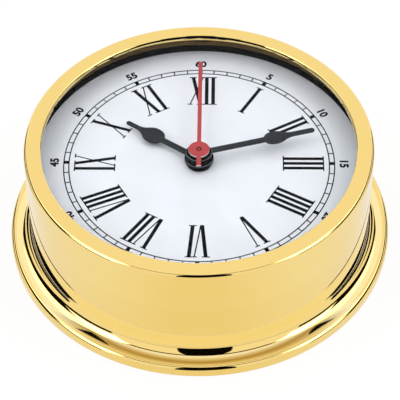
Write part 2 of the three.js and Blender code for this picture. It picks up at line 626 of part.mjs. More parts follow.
// Both groups of wheels, each piece turned so that its teeth stand in the gaps of its partner.
function buildTrain() {
  const half = GEAR_THICKNESS / 2;
  const pivotTop = FLOOR_Z + PIVOT_DEPTH - SEAT;
  const pivotZ = COVER_TOP - PIVOT_DEPTH + SEAT;
  const arborTop = FLOOR_Z - SEAT;
  const arborZ = COVER_TOP + SEAT;
  const reverse = 180;

  const minutePhase = meshPhase(PINION_TEETH, 0, MINUTE_WHEEL_TEETH, MOTION_ANGLE);
  const hourPhase = meshPhase(PINION_TEETH, 0, HOUR_WHEEL_TEETH, MOTION_ANGLE + reverse);
  const settingPhase = meshPhase(MINUTE_WHEEL_TEETH, minutePhase, PINION_TEETH, MOTION_ANGLE);
  const thirdPhase = meshPhase(PINION_TEETH, 0, THIRD_WHEEL_TEETH, THIRD_ANGLE);
  const centrePhase = meshPhase(PINION_TEETH, 0, CENTRE_WHEEL_TEETH, THIRD_ANGLE + reverse);
  const intermediatePhase = meshPhase(SECOND_WHEEL_TEETH, 0, PINION_TEETH, INTERMEDIATE_ANGLE);
  const rotorPhase = meshPhase(ROTOR_WHEEL_TEETH, 0, PINION_TEETH, ROTOR_ANGLE);

  const hourWheel = cut(
    join(
      gear(HOUR_WHEEL_TEETH, HOUR_MODULE, HOUR_LAYER, hourPhase),
      rod(HOUR_RADIUS, HOUR_LAYER, HOUR_HAND_TOP - SEAT),
    ),
    rod(HOUR_BORE, HOUR_LAYER - GEAR_THICKNESS, HOUR_HAND_TOP),
  );
  const minuteArborZ = BRIDGE_TOP + SEAT;
  const minuteArbor = cut(
    join(
      gear(PINION_TEETH, MOTION_MODULE, MINUTE_LAYER),
      rod(MINUTE_RADIUS, minuteArborZ, MINUTE_HAND_TOP - SEAT),
    ),
    rod(MINUTE_BORE, minuteArborZ - SLIP, MINUTE_HAND_TOP),
  );
  const centreWheel = cut(
    gear(CENTRE_WHEEL_TEETH, CENTRE_MODULE, CENTRE_LAYER, centrePhase),
    rod(MINUTE_RADIUS + RUNNING, CENTRE_LAYER - GEAR_THICKNESS, CENTRE_LAYER + GEAR_THICKNESS),
  );
  const springZ = CENTRE_LAYER + half + SEAT;
  const springInner = MINUTE_RADIUS + RUNNING;
  const springTop = springZ + CLUTCH_SPRING_DISH;
  const clutchSpring = turned([
    [CLUTCH_SPRING_RADIUS, springZ],
    [CLUTCH_SPRING_RADIUS, springZ + CLUTCH_SPRING_THICKNESS],
    [springInner, springTop + CLUTCH_SPRING_THICKNESS],
    [springInner, springTop],
  ], SMALL_FACETS);
  const minuteWheel = cut(
    join(
      gear(MINUTE_WHEEL_TEETH, MOTION_MODULE, MINUTE_LAYER, minutePhase),
      gear(PINION_TEETH, HOUR_MODULE, HOUR_LAYER),
      rod(STUD_RADIUS + PIPE_WALL / 2, MINUTE_LAYER, arborTop),
    ),
    rod(STUD_RADIUS + RUNNING, MINUTE_LAYER - GEAR_THICKNESS, FLOOR_Z),
  );
  const settingShaft = join(
    gear(PINION_TEETH, MOTION_MODULE, MINUTE_LAYER, settingPhase),
    rod(SETTING_RADIUS, MOVEMENT_Z - KNOB_HEIGHT + KNOB_WALL, arborTop),
    rod(PIVOT_RADIUS, MINUTE_LAYER, pivotTop),
  );
  const thirdWheel = join(
    gear(THIRD_WHEEL_TEETH, THIRD_MODULE, THIRD_LAYER, thirdPhase),
    gear(PINION_TEETH, CENTRE_MODULE, CENTRE_LAYER),
    rod(2 * PIVOT_RADIUS, arborZ, arborTop),
    rod(PIVOT_RADIUS, pivotZ, pivotTop),
  );
  const secondWheel = join(
    gear(SECOND_WHEEL_TEETH, SECOND_MODULE, SECOND_LAYER),
    gear(PINION_TEETH, THIRD_MODULE, THIRD_LAYER),
    rod(SECOND_ARBOR_RADIUS, arborZ, SECOND_HAND_Z + COLLET_HEIGHT - SEAT),
    rod(PIVOT_RADIUS, pivotZ, SECOND_LAYER),
  );
  const bridgePivot = BRIDGE_Z + PIVOT_DEPTH - SEAT;
  const intermediateWheel = join(
    gear(PINION_TEETH, SECOND_MODULE, SECOND_LAYER, intermediatePhase),
    gear(ROTOR_WHEEL_TEETH, ROTOR_MODULE, ROTOR_LAYER),
    rod(2 * PIVOT_RADIUS, arborZ, BRIDGE_Z - SEAT),
    rod(PIVOT_RADIUS, pivotZ, bridgePivot),
  );
  const rotor = join(
    gear(PINION_TEETH, ROTOR_MODULE, ROTOR_LAYER, rotorPhase),
    rod(2 * PIVOT_RADIUS, arborZ, BRIDGE_Z - SEAT),
    rod(PIVOT_RADIUS, pivotZ, bridgePivot),
  );
  const magnetTop = MAGNET_Z + MAGNET_HEIGHT;
  const magnet = ring(2 * PIVOT_RADIUS + RUNNING, MAGNET_RADIUS, MAGNET_Z, magnetTop, SMALL_FACETS);
  return [
    piece("hour_wheel", hourWheel, "whitePlastic"),
    piece("minute_arbor", minuteArbor, "brass"),
    piece("centre_wheel", centreWheel, "whitePlastic"),
    piece("clutch_spring", clutchSpring, "steel"),
    piece("minute_wheel", at(minuteWheel, MOTION_ARBOR), "whitePlastic"),
    piece("setting_shaft", at(settingShaft, SETTING_ARBOR), "whitePlastic"),
    piece("third_wheel", at(thirdWheel, THIRD_ARBOR), "whitePlastic"),
    piece("second_wheel", secondWheel, "whitePlastic"),
    piece("intermediate_wheel", at(intermediateWheel, INTERMEDIATE_ARBOR), "whitePlastic"),
    piece("rotor", at(rotor, ROTOR_ARBOR), "whitePlastic"),
    piece("rotor_magnet", at(magnet, ROTOR_ARBOR), "ferrite"),
  ];
}

// Stator with one leg each side of the setting shaft, and the coil between the ends of the legs.
function buildMotor() {
  const ringRadius = MAGNET_RADIUS + STATOR_GAP + STATOR_RING;
  const legHalf = STATOR_RING;
  const padZ = STATOR_Z;
  const top = padZ + STATOR_THICKNESS;
  const padFront = COIL_Y - legHalf;
  const padBack = COIL_Y + legHalf;
  const leftPad = COIL_LEFT + COIL_PAD;
  const rightPad = COIL_RIGHT - COIL_PAD;
  const leftLeg = polygon([
    [COIL_LEFT, padFront],
    [ROTOR_ARBOR.x - ringRadius, ROTOR_ARBOR.y + legHalf],
    [ROTOR_ARBOR.x, ROTOR_ARBOR.y + legHalf],
    [leftPad, padFront],
  ]);
  const stator = cut(
    join(
      rod(ringRadius, padZ, top, ROTOR_ARBOR),
      slab(leftLeg, padZ, top),
      block(COIL_LEFT, leftPad, padFront - SEAT, padBack, padZ, top),
      block(rightPad, COIL_RIGHT, padFront - SEAT, padBack, padZ, top),
      block(rightPad, ROTOR_ARBOR.x + ringRadius, ROTOR_ARBOR.y, padBack, padZ, top),
    ),
    rod(MAGNET_RADIUS + STATOR_GAP, padZ - SLIP, top + SLIP, ROTOR_ARBOR),
  );
  const coreTop = padZ - SEAT;
  const coreZ = coreTop - CORE_THICKNESS;
  const coreMiddle = (coreTop + coreZ) / 2;
  const coreFront = COIL_Y - CORE_HALF_WIDTH;
  const coreBack = COIL_Y + CORE_HALF_WIDTH;
  const core = block(COIL_LEFT, COIL_RIGHT, coreFront, coreBack, coreZ, coreTop);
  const bobbinLeft = leftPad + SLIP;
  const bobbinRight = rightPad - SLIP;
  const bobbin = cut(
    join(
      coilBlock(bobbinLeft, bobbinLeft + BOBBIN_WALL, COIL_HALF, coreMiddle),
      coilBlock(bobbinLeft, bobbinRight, CORE_HALF_WIDTH + BOBBIN_WALL, coreMiddle),
      coilBlock(bobbinRight - BOBBIN_WALL, bobbinRight, COIL_HALF, coreMiddle),
    ),
    coilBlock(bobbinLeft - SLIP, bobbinRight + SLIP, CORE_HALF_WIDTH + SEAT, coreMiddle),
  );
  const windingLeft = bobbinLeft + BOBBIN_WALL + SEAT;
  const windingRight = bobbinRight - BOBBIN_WALL - SEAT;
  const winding = cut(
    coilBlock(windingLeft, windingRight, COIL_HALF - SEAT, coreMiddle),
    coilBlock(windingLeft - SLIP, windingRight + SLIP, CORE_HALF_WIDTH + BOBBIN_WALL + SEAT, coreMiddle),
  );
  return [
    piece("stator", stator, "steel"),
    piece("coil_core", core, "steel"),
    piece("coil_bobbin", bobbin, "whitePlastic"),
    piece("coil_winding", winding, "copper"),
  ];
}

// A square bar along the coil.
function coilBlock(left, right, half, level) {
  return block(left, right, COIL_Y - half, COIL_Y + half, level - half, level + half);
}

function buildCircuit() {
  const boardTop = BRIDGE_Z - SEAT;
  const boardZ = boardTop - BOARD_THICKNESS;
  const front = COIL_Y - BOARD_WIDTH / 2;
  const back = COIL_Y + BOARD_WIDTH / 2;
  const board = block(BOARD_LEFT, BOARD_LEFT + BOARD_LENGTH, front, back, boardZ, boardTop);
  const chipTop = boardZ - SEAT;
  const chip = turned([
    [0, chipTop - CHIP_HEIGHT],
    [CHIP_RADIUS / 2, chipTop - CHIP_HEIGHT],
    [CHIP_RADIUS, chipTop - CHIP_HEIGHT / 2],
    [CHIP_RADIUS, chipTop],
    [0, chipTop],
  ], SMALL_FACETS);
  const crystal = rod(CRYSTAL_RADIUS, 0, CRYSTAL_LENGTH).rotateY(Math.PI / 2);
  const crystalLeft = BOARD_LEFT + BOARD_LENGTH - CRYSTAL_LENGTH - CRYSTAL_RADIUS;
  const crystalLevel = boardZ - SEAT - CRYSTAL_RADIUS;
  const chipPlace = new THREE.Vector2(BOARD_LEFT + 2 * CHIP_RADIUS, COIL_Y);
  return [
    piece("circuit_board", board, "board"),
    piece("chip_cover", at(chip, chipPlace), "blackPlastic"),
    piece("quartz_crystal", crystal.translate(crystalLeft, COIL_Y, crystalLevel), "steel"),
  ];
}

function buildSetting() {
  const top = MOVEMENT_Z - SEAT;
  const bottom = top - KNOB_HEIGHT;
  const points = [];
  for (let i = 0; i < 2 * KNOB_RIDGES; i++) {
    const angle = (i * Math.PI) / KNOB_RIDGES;
    const radius = KNOB_RADIUS - (i % 2) * KNOB_RIDGE_DEPTH;
    points.push([radius * Math.cos(angle), radius * Math.sin(angle)]);
  }
  const bore = rod(SETTING_RADIUS + RUNNING, bottom + KNOB_WALL, top + SLIP);
  const knob = cut(slab(polygon(points), bottom, top), bore);
  return [piece("setting_knob", at(knob, SETTING_ARBOR), "whitePlastic")];
}

function buildBattery() {
  const level = FLOOR_Z - SEAT - BATTERY_RADIUS;
  const length = BATTERY_LENGTH + BATTERY_NUB_LENGTH;
  const left = CAVITY_HALF_LENGTH - SEAT - CONTACT_THICKNESS - SEAT - length;
  const cell = turned([
    [0, 0],
    [BATTERY_RADIUS - BATTERY_EDGE, 0],
    [BATTERY_RADIUS, BATTERY_EDGE],
    [BATTERY_RADIUS, BATTERY_LENGTH - BATTERY_EDGE],
    [BATTERY_RADIUS - BATTERY_EDGE, BATTERY_LENGTH],
    [BATTERY_NUB_RADIUS, BATTERY_LENGTH],
    [BATTERY_NUB_RADIUS, length],
    [0, length],
  ], 2 * SMALL_FACETS);
  const front = BATTERY_Y - CONTACT_WIDTH / 2;
  const back = BATTERY_Y + CONTACT_WIDTH / 2;
  const low = level - CONTACT_WIDTH / 2;
  const high = level + CONTACT_WIDTH / 2;
  const right = CAVITY_HALF_LENGTH - SEAT;
  const positive = block(right - CONTACT_THICKNESS, right, front, back, low, high);
  const wall = SEAT - CAVITY_HALF_LENGTH;
  const tip = left - SEAT;
  const spring = polygon([
    [wall, low],
    [wall + CONTACT_THICKNESS, low],
    [tip, level],
    [wall + CONTACT_THICKNESS, high],
    [wall, high],
    [tip - CONTACT_THICKNESS, level],
  ]);
  const negative = slab(spring, front, back).rotateX(Math.PI / 2).translate(0, front + back, 0);
  return [
    piece("battery", cell.rotateY(Math.PI / 2).translate(left, BATTERY_Y, level), "label"),
    piece("battery_contact_positive", positive, "steel"),
    piece("battery_contact_negative", negative, "steel"),
  ];
}

// Half of a spade outline, mirrored: a thin shaft, a round belly and a long taper to a blunt tip.
function spadeShape({ shaft, neck, belly, bellyHalf, taper, tipHalf, tip }) {
  const swell = (belly - neck) / 2;
  const run = (taper - belly) / 2;
  const shape = new THREE.Shape();
  shape.moveTo(-shaft, 0);
  shape.lineTo(shaft, 0);
  shape.lineTo(shaft, neck);
  shape.bezierCurveTo(bellyHalf - tipHalf, neck, bellyHalf, belly - swell, bellyHalf, belly);
  shape.bezierCurveTo(bellyHalf, belly + run, tipHalf, taper - run, tipHalf, taper);
  shape.absarc(0, tip - tipHalf, tipHalf, 0, Math.PI);
  shape.lineTo(-tipHalf, taper);
  shape.bezierCurveTo(-tipHalf, taper - run, -bellyHalf, belly + run, -bellyHalf, belly);
  shape.bezierCurveTo(-bellyHalf, belly - swell, tipHalf - bellyHalf, neck, -shaft, neck);
  return shape;
}

function spadeHand(blade, bossRadius, pipeRadius, bottom, top) {
  const boss = turned([
    [0, bottom],
    [bossRadius, bottom],
    [bossRadius, top - BOSS_EDGE],
    [bossRadius - BOSS_EDGE, top],
    [0, top],
  ], 2 * SMALL_FACETS);
  const bladeZ = bottom + blade.rise;
  const whole = join(boss, slab(spadeShape(blade), bladeZ, bladeZ + BLADE_THICKNESS));
  return cut(whole, rod(pipeRadius + RUNNING, bottom - SLIP, top + SLIP));
}

function secondHand() {
  const bottom = SECOND_HAND_Z + COLLET_HEIGHT;
  const top = bottom + BLADE_THICKNESS;
  const blade = new THREE.Shape();
  blade.moveTo(-SECOND_HALF_WIDTH, 0);
  blade.lineTo(-SECOND_TAIL_HALF_WIDTH, -SECOND_TAIL);
  blade.lineTo(SECOND_TAIL_HALF_WIDTH, -SECOND_TAIL);
  blade.lineTo(SECOND_HALF_WIDTH, 0);
  blade.lineTo(SECOND_HALF_WIDTH, SECOND_TIP);
  blade.lineTo(-SECOND_HALF_WIDTH, SECOND_TIP);
  const whole = join(
    rod(SECOND_DISC_RADIUS, bottom, top, CENTRE, 2 * SMALL_FACETS),
    slab(blade, bottom, top),
    rod(COLLET_RADIUS, SECOND_HAND_Z, bottom + SEAT),
  );
  const bore = rod(SECOND_ARBOR_RADIUS + RUNNING, SECOND_HAND_Z - SLIP, bottom);
  return cut(whole, bore, rod(DIMPLE_RADIUS, top - DIMPLE_DEPTH, top + SLIP));
}

function buildHands() {
  const minutes = TIME_SHOWN.minutes + TIME_SHOWN.seconds / 60;
  const hours = TIME_SHOWN.hours + minutes / 60;
  const hourTurn = THREE.MathUtils.degToRad(30 * hours - HOUR_HAND_LAG);
  const hourLevels = [HOUR_HAND_Z, HOUR_HAND_TOP];
  const minuteLevels = [MINUTE_HAND_Z, MINUTE_HAND_TOP];
  const hourHand = spadeHand(HOUR_BLADE, HOUR_BOSS_RADIUS, HOUR_RADIUS, ...hourLevels);
  const minuteHand = spadeHand(MINUTE_BLADE, MINUTE_BOSS_RADIUS, MINUTE_RADIUS, ...minuteLevels);
  return [
    piece("hour_hand", hourHand.rotateZ(-hourTurn), "charcoal"),
    piece("minute_hand", minuteHand.rotateZ((-minutes * Math.PI) / 30), "charcoal"),
    piece("second_hand", secondHand().rotateZ((-TIME_SHOWN.seconds * Math.PI) / 30), "red"),
  ];
}

const clock = new THREE.Group();
clock.name = "marine_clock";
clock.add(
  ...buildCase(),
  ...buildGlazing(),
  ...buildBack(),
  ...buildHousing(),
  ...buildBush(),
  ...buildTrain(),
  ...buildMotor(),
  ...buildCircuit(),
  ...buildSetting(),
  ...buildBattery(),
  ...buildHands(),
);

export default clock;
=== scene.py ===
"""Looks of a round marine wall clock that lies on its back on a pale floor.

A polished brass case with a wide wall flange, a flat glass, a white enamelled dial with
printed figures, two spade hands and a red second hand, and the quartz movement behind them.
Sizes are in millimetres in the clock's own frame: +Z points out of the dial and +Y to twelve.
"""

import json
import logging
import math
from collections.abc import Callable, Iterable, Sequence
from dataclasses import dataclass
from enum import Enum

import bpy
from mathutils import Matrix, Vector

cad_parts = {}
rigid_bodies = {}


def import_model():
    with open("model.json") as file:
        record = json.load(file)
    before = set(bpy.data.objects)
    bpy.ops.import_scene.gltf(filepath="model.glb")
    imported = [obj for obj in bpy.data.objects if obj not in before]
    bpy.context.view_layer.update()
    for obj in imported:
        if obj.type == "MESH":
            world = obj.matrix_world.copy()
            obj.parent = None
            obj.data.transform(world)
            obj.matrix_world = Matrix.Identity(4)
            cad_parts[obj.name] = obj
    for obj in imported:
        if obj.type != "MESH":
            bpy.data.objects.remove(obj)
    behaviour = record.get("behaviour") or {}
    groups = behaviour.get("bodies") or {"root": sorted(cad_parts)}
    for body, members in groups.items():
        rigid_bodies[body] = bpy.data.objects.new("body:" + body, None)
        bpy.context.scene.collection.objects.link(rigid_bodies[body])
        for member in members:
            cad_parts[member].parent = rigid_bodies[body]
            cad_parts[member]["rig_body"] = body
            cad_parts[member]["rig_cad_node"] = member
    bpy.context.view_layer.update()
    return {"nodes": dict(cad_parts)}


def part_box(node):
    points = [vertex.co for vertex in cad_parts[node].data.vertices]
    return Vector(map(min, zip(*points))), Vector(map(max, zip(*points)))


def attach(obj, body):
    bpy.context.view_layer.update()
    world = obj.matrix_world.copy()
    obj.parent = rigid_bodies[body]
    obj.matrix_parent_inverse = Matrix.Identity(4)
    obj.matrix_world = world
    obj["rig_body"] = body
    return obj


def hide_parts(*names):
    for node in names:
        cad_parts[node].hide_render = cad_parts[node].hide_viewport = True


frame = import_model()

LOG = logging.getLogger("marine_clock")
MM = 0.001
FULL_TURN = 2 * math.pi
CENTRE = (0.0, 0.0, 0.0)
AXIS = (0.0, 0.0, 1.0)
HOURS = 12
MINUTES = 60
HOUR_STEP = 360 / HOURS  # degrees
TURN_STEPS = 256  # facets round the case
SMALL_STEPS = 64  # facets round hubs, screws and the battery
TIP_STEPS = 4  # facets round a quarter of a hand's tip
ROUND_SEGMENTS = 6  # facets across a rounded corner, at least
SEGMENTS_PER_MM = 8  # facets across a large one, for each mm of its size
SMOOTH_ANGLE = math.radians(35)
FLAT_ANGLE = math.radians(1)  # CAD triangles that lie as flat as this are merged
STEEP = 0.5  # the upward part of a side face's normal is less
MERGE_DISTANCE = 0.002 * MM
NEAR = 0.01 * MM
FIXED_BODY = "clock_body"
WHITE = "FFFFFF"
FLOOR_PAPER = "F7F7F7"
BLACK_CARD = "0A0807"
MIX_A, MIX_B, MIX_RESULT = 6, 7, 2  # the colour sockets of a Mix node
WAVE_PERIOD = 0.314  # a wave texture's band repeats every 0.314 / scale
NOISE_SPAN = {"From Min": 0.3, "From Max": 0.7}  # where nearly all of a noise lies
SECOND_MIRROR = 1.5  # a reflection that is itself mirrored is deeper

Point = tuple[float, float]
Colour = tuple[float, float, float, float]
Profile = Sequence[tuple[float, ...]]
Piece = bpy.types.Object
Face = bpy.types.MeshPolygon
Material = bpy.types.Material
Tree = bpy.types.NodeTree
Socket = bpy.types.NodeSocket


class Domain(Enum):
    """What is selected in edit mode."""

    POINT = "VERT"
    EDGE = "EDGE"


class Pattern(Enum):
    """How a finish varies over its surface."""

    CLOUD = "cloud"  # soft patches
    TURNED = "turned"  # rings round the clock's axis
    WOUND = "wound"  # wires side by side along X


def linear(code: str) -> Colour:
    """Turns an sRGB hex value into linear light.

    Args:
        code: six hex digits.

    Returns:
        Red, green, blue and an alpha of one.
    """
    parts = [int(code[i : i + 2], 16) / 255 for i in (0, 2, 4)]
    light = [c / 12.92 if c <= 0.04045 else ((c + 0.055) / 1.055) ** 2.4 for c in parts]
    return (light[0], light[1], light[2], 1.0)


def add_node(
    tree: Tree, kind: str, settings: dict | None = None, links: dict | None = None
) -> bpy.types.NodeOutputs:
    """Adds a shader node with its settings and links.

    Args:
        tree: the node tree.
        kind: the node's type without its ShaderNode prefix.
        settings: values of the node's own properties or of its inputs.
        links: output sockets, by the input that each feeds.

    Returns:
        The new node's outputs.
    """
    node = tree.nodes.new("ShaderNode" + kind)
    for key, value in (settings or {}).items():
        if isinstance(key, str) and key not in node.inputs:
            setattr(node, key, value)
        else:
            node.inputs[key].default_value = value
    for key, source in (links or {}).items():
        tree.links.new(source, node.inputs[key])
    return node.outputs


def empty_tree(owner: Material | bpy.types.World) -> Tree:
    """Gives a new material or world a node tree without nodes.

    Args:
        owner: the material or world.

    Returns:
        Its tree.
    """
    owner.use_nodes = True
    owner.node_tree.nodes.clear()
    return owner.node_tree


@dataclass(frozen=True)
class Finish:
    """A real material and how its surface was made.

    The pattern mixes the two colours, moves the roughness between its two ends and gives
    the bump, so no surface is one flat colour.
    """

    name: str
    colour: str
    shade: str
    smoothest: float
    roughest: float
    grain: float  # size of the pattern, mm
    depth: float = 0.0  # height of the bump, mm
    pattern: Pattern = Pattern.CLOUD
    metallic: float = 0.0
    specular: float = 0.5
    ior: float = 1.5
    coat: float = 0.0
    transmission: float = 0.0
    mirror: str = WHITE  # how much of a straight reflection is left

    def material(self) -> Material:
        """Makes the material on first use.

        Returns:
            The material.
        """
        if self.name in bpy.data.materials:
            return bpy.data.materials[self.name]
        material = bpy.data.materials.new(self.name)
        tree = empty_tree(material)
        amount = self._amount(tree)
        colours = {"data_type": "RGBA", MIX_A: linear(self.colour), MIX_B: linear(self.shade)}
        colour = add_node(tree, "Mix", colours, {0: amount})[MIX_RESULT]
        ends = {"To Min": self.smoothest, "To Max": self.roughest}
        roughness = add_node(tree, "MapRange", ends, {"Value": amount})[0]
        links = {"Base Color": colour, "Roughness": roughness}
        if self.depth:
            bump = add_node(tree, "Bump", {"Distance": self.depth * MM}, {"Height": amount})
            links["Normal"] = bump[0]
        settings = {
            "Metallic": self.metallic,
            "Specular IOR Level": self.specular,
            "Specular Tint": linear(self.mirror),
            "IOR": self.ior,
            "Coat Weight": self.coat,
            "Transmission Weight": self.transmission,
        }
        shader = add_node(tree, "BsdfPrincipled", settings, links)
        add_node(tree, "OutputMaterial", {}, {"Surface": shader[0]})
        return material

    def _amount(self, tree: Tree) -> Socket:
        """Adds the pattern's nodes.

        Args:
            tree: the material's node tree.

        Returns:
            The socket that runs from zero to one over the surface.
        """
        place = add_node(tree, "TexCoord")["Object"]
        grain = self.grain * MM
        if self.pattern is Pattern.WOUND:
            wave = {"bands_direction": "X", "Scale": WAVE_PERIOD / grain}
            return add_node(tree, "TexWave", wave, {"Vector": place})["Fac"]
        if self.pattern is Pattern.TURNED:
            flat = {"operation": "MULTIPLY", 1: (1.0, 1.0, 0.0)}
            across = add_node(tree, "VectorMath", flat, {0: place})[0]
            radius = add_node(tree, "VectorMath", {"operation": "LENGTH"}, {0: across})["Value"]
            height = add_node(tree, "SeparateXYZ", {}, {0: place})["Z"]
            place = add_node(tree, "CombineXYZ", {}, {"X": radius, "Y": height})[0]
        noise = add_node(tree, "TexNoise", {"Scale": 1 / grain, "Detail": 3.0}, {"Vector": place})
        return add_node(tree, "MapRange", NOISE_SPAN, {"Value": noise["Fac"]})[0]


# Spun brass, buffed to a mirror and lacquered: warm gold with faint rings from the lathe.
# The rings of a buffed case are far finer than this, and are drawn coarser so that they show.
POLISHED_BRASS = Finish(
    "polished_brass", "F9DA8A", "F7D784", 0.03, 0.045, 6.0, pattern=Pattern.TURNED, metallic=1.0
)
# Turned brass, drawn dark brown with near-black rings from the tool: a painted reflection of the dark
# recess that the glass ring mirrors. The rings are drawn
# 0.9 mm wide, because real ones, under 0.3 mm, are too fine to show.
TURNED_BRASS_PAINTED_DARK = Finish(
    "turned_brass_painted_dark", "94794E", "1A130C", 0.12, 0.24, 0.9, 0.004, pattern=Pattern.TURNED, metallic=1.0
)
# Flat mineral glass with a low-reflection coat, so the dial shows through without glare.
CLEAR_GLASS = Finish(
    "coated_mineral_glass", "FFFFFF", "FAFCFB", 0.0, 0.006, 14.0,
    ior=1.2, transmission=1.0, mirror="5A5A5A",
)
# Moulded nitrile rubber: black, dull, with a fine skin.
NITRILE_RUBBER = Finish("nitrile_rubber", "0E0D0D", "171615", 0.55, 0.75, 0.5, 0.01, specular=0.25)
# Black lacquered steel band: deep black, nearly dull.
BLACK_LACQUER = Finish(
    "black_lacquered_steel", "060505", "0A0909", 0.55, 0.7, 1.2, 0.004, specular=0.04
)
# Stove enamel on sheet: cool white, smooth, with the slight ripple of fired enamel.
WHITE_ENAMEL = Finish("stove_enamel", "EFF1F7", "EDEFF5", 0.32, 0.4, 9.0, 0.002, specular=0.3)
# Pad-printed ink: dense black with slightly uneven cover.
PRINT_INK = Finish("pad_print_ink", "07080A", "0E0F12", 0.5, 0.62, 0.25, specular=0.06)
# Stamped brass hands with satin charcoal lacquer.
CHARCOAL_LACQUER = Finish(
    "satin_charcoal_lacquer", "1C2023", "23272B", 0.42, 0.55, 0.6, 0.003, specular=0.25
)
# Moulded black nylon of the hand collets: glossy and deep.
BLACK_NYLON = Finish("black_nylon", "050608", "08090B", 0.2, 0.3, 0.8, 0.002, specular=0.06)
# The same nylon, grey and silky: a painted highlight on the upper edge of the collets.
NYLON_HIGHLIGHT = Finish("nylon_painted_highlight", "8A8F92", "6E7376", 0.35, 0.5, 0.5, 0.002, specular=0.3)
# Red lacquer sprayed on thin sheet, with a slight mottle.
RED_LACQUER = Finish("red_lacquer", "BE4140", "B43A3A", 0.35, 0.5, 0.5, 0.003, specular=0.35)
# Cut edge of aluminium sheet: bright and finely grained.
BARE_ALUMINIUM = Finish("bare_aluminium", "F2F2F2", "DCDDDF", 0.22, 0.38, 0.3, metallic=1.0)
# Moulded ABS with a spark-eroded texture: dark grey black.
MOULDED_ABS = Finish("textured_abs", "17181A", "202123", 0.45, 0.62, 0.35, 0.02, specular=0.4)
# Powder coat on steel: dark grey with a fine orange peel.
POWDER_COAT = Finish("powder_coated_steel", "26282B", "303236", 0.42, 0.6, 0.7, 0.02, specular=0.45)
# Zinc-plated steel: cool grey with a cloudy shine.
ZINC_STEEL = Finish("zinc_plated_steel", "C9CCD0", "A9ADB4", 0.2, 0.4, 1.1, metallic=1.0)
# Natural acetal: milky white, waxy.
NATURAL_ACETAL = Finish("natural_acetal", "EDEBE4", "E2DFD6", 0.35, 0.5, 0.9, 0.006)
# Enamelled copper wire. The wire is 0.05 mm thick, and is drawn coarser so that it shows.
COPPER_WIRE = Finish(
    "enamelled_copper_wire", "C6703A", "8A4420", 0.2, 0.4, 0.3, 0.04,
    pattern=Pattern.WOUND, metallic=1.0,
)
# Sintered ferrite: dull charcoal with a fine grain.
FERRITE = Finish("sintered_ferrite", "2E2F31", "3A3B3E", 0.6, 0.8, 0.2, 0.01)
# Solder mask over a glass fibre board: green with the weave just showing through.
SOLDER_MASK = Finish("green_solder_mask", "1D5B3A", "174C30", 0.25, 0.4, 0.5, 0.01)
# Potting resin over the chip: glossy black.
POTTING_RESIN = Finish("potting_resin", "0C0C0D", "161617", 0.1, 0.25, 1.5, 0.02)
# Shrink sleeve of the cell: plain dark blue film.
SHRINK_SLEEVE = Finish("shrink_sleeve", "22375C", "1C2F50", 0.22, 0.36, 2.5, 0.01, coat=0.2)


def deselect() -> None:
    """Leaves edit mode and deselects everything."""
    active = bpy.context.view_layer.objects.active
    if active and active.mode != "OBJECT":
        bpy.ops.object.mode_set(mode="OBJECT")
    bpy.ops.object.select_all(action="DESELECT")


def activate(pieces: Sequence[Piece]) -> None:
    """Leaves edit mode and selects these pieces alone.

    Args:
        pieces: the pieces, of which the first becomes active.
    """
    deselect()
    for piece in pieces:
        piece.select_set(True)
    bpy.context.view_layer.objects.active = pieces[0]


def edit_all() -> None:
    """Selects all of the active piece in edit mode."""
    bpy.ops.object.mode_set(mode="EDIT")
    bpy.ops.mesh.select_all(action="SELECT")


def choose(piece: Piece, domain: Domain, test: Callable[[Vector], bool]) -> None:
    """Selects the points or edges whose middle passes a test, in edit mode.

    Args:
        piece: the active mesh object.
        domain: what is selected.
        test: says whether a middle point, in metres, is chosen.
    """
    bpy.ops.object.mode_set(mode="EDIT")
    bpy.ops.mesh.select_mode(type=domain.value)
    bpy.ops.mesh.select_all(action="DESELECT")
    bpy.ops.object.mode_set(mode="OBJECT")
    mesh = piece.data
    if domain is Domain.POINT:
        for point in mesh.vertices:
            point.select = test(point.co)
    else:
        for edge in mesh.edges:
            start, end = (mesh.vertices[i].co for i in edge.vertices)
            edge.select = test((start + end) / 2)
    bpy.ops.object.mode_set(mode="EDIT")


def clean(piece: Piece) -> Piece:
    """Merges doubles, turns the faces outwards and smooths the soft edges.

    Args:
        piece: the mesh object.

    Returns:
        The same object.
    """
    activate([piece])
    bpy.ops.object.transform_apply()
    edit_all()
    bpy.ops.mesh.remove_doubles(threshold=MERGE_DISTANCE)
    bpy.ops.mesh.normals_make_consistent(inside=False)
    bpy.ops.object.mode_set(mode="OBJECT")
    bpy.ops.object.shade_smooth_by_angle(angle=SMOOTH_ANGLE)
    return piece


def join(name: str, pieces: Sequence[Piece]) -> Piece:
    """Joins mesh objects into one.

    Args:
        name: the joined piece's name.
        pieces: the objects, all of them used up.

    Returns:
        The joined piece.
    """
    activate(pieces)
    if len(pieces) > 1:
        bpy.ops.object.join()
    piece = bpy.context.object
    piece.name = name
    return piece


def modify(piece: Piece, kind: str, **settings: object) -> None:
    """Gives a piece a modifier and applies it.

    Args:
        piece: the mesh object.
        kind: the modifier's type.
        settings: values of its properties.
    """
    activate([piece])
    modifier = piece.modifiers.new("shape", kind)
    for key, value in settings.items():
        setattr(modifier, key, value)
    bpy.ops.object.modifier_apply(modifier=modifier.name)


def combine(piece: Piece, tool: Piece, operation: str) -> None:
    """Cuts or joins a solid with another, which is used up.

    Args:
        piece: the solid that stays.
        tool: the other solid.
        operation: DIFFERENCE or UNION.
    """
    modify(piece, "BOOLEAN", operation=operation, object=tool)
    bpy.data.objects.remove(tool)


@dataclass(frozen=True)
class Corner:
    """A corner of a turned profile: radius, height and rounding, mm."""

    radius: float
    height: float
    rounding: float = 0.0

    @property
    def place(self) -> Vector:
        """Returns the corner in metres, on the XZ plane."""
        return Vector((self.radius, 0.0, self.height)) * MM


def rectangle(left: float, right: float, low: float, high: float) -> list[Point]:
    """Lists the corners of an upright rectangle."""
    return [(left, low), (right, low), (right, high), (left, high)]


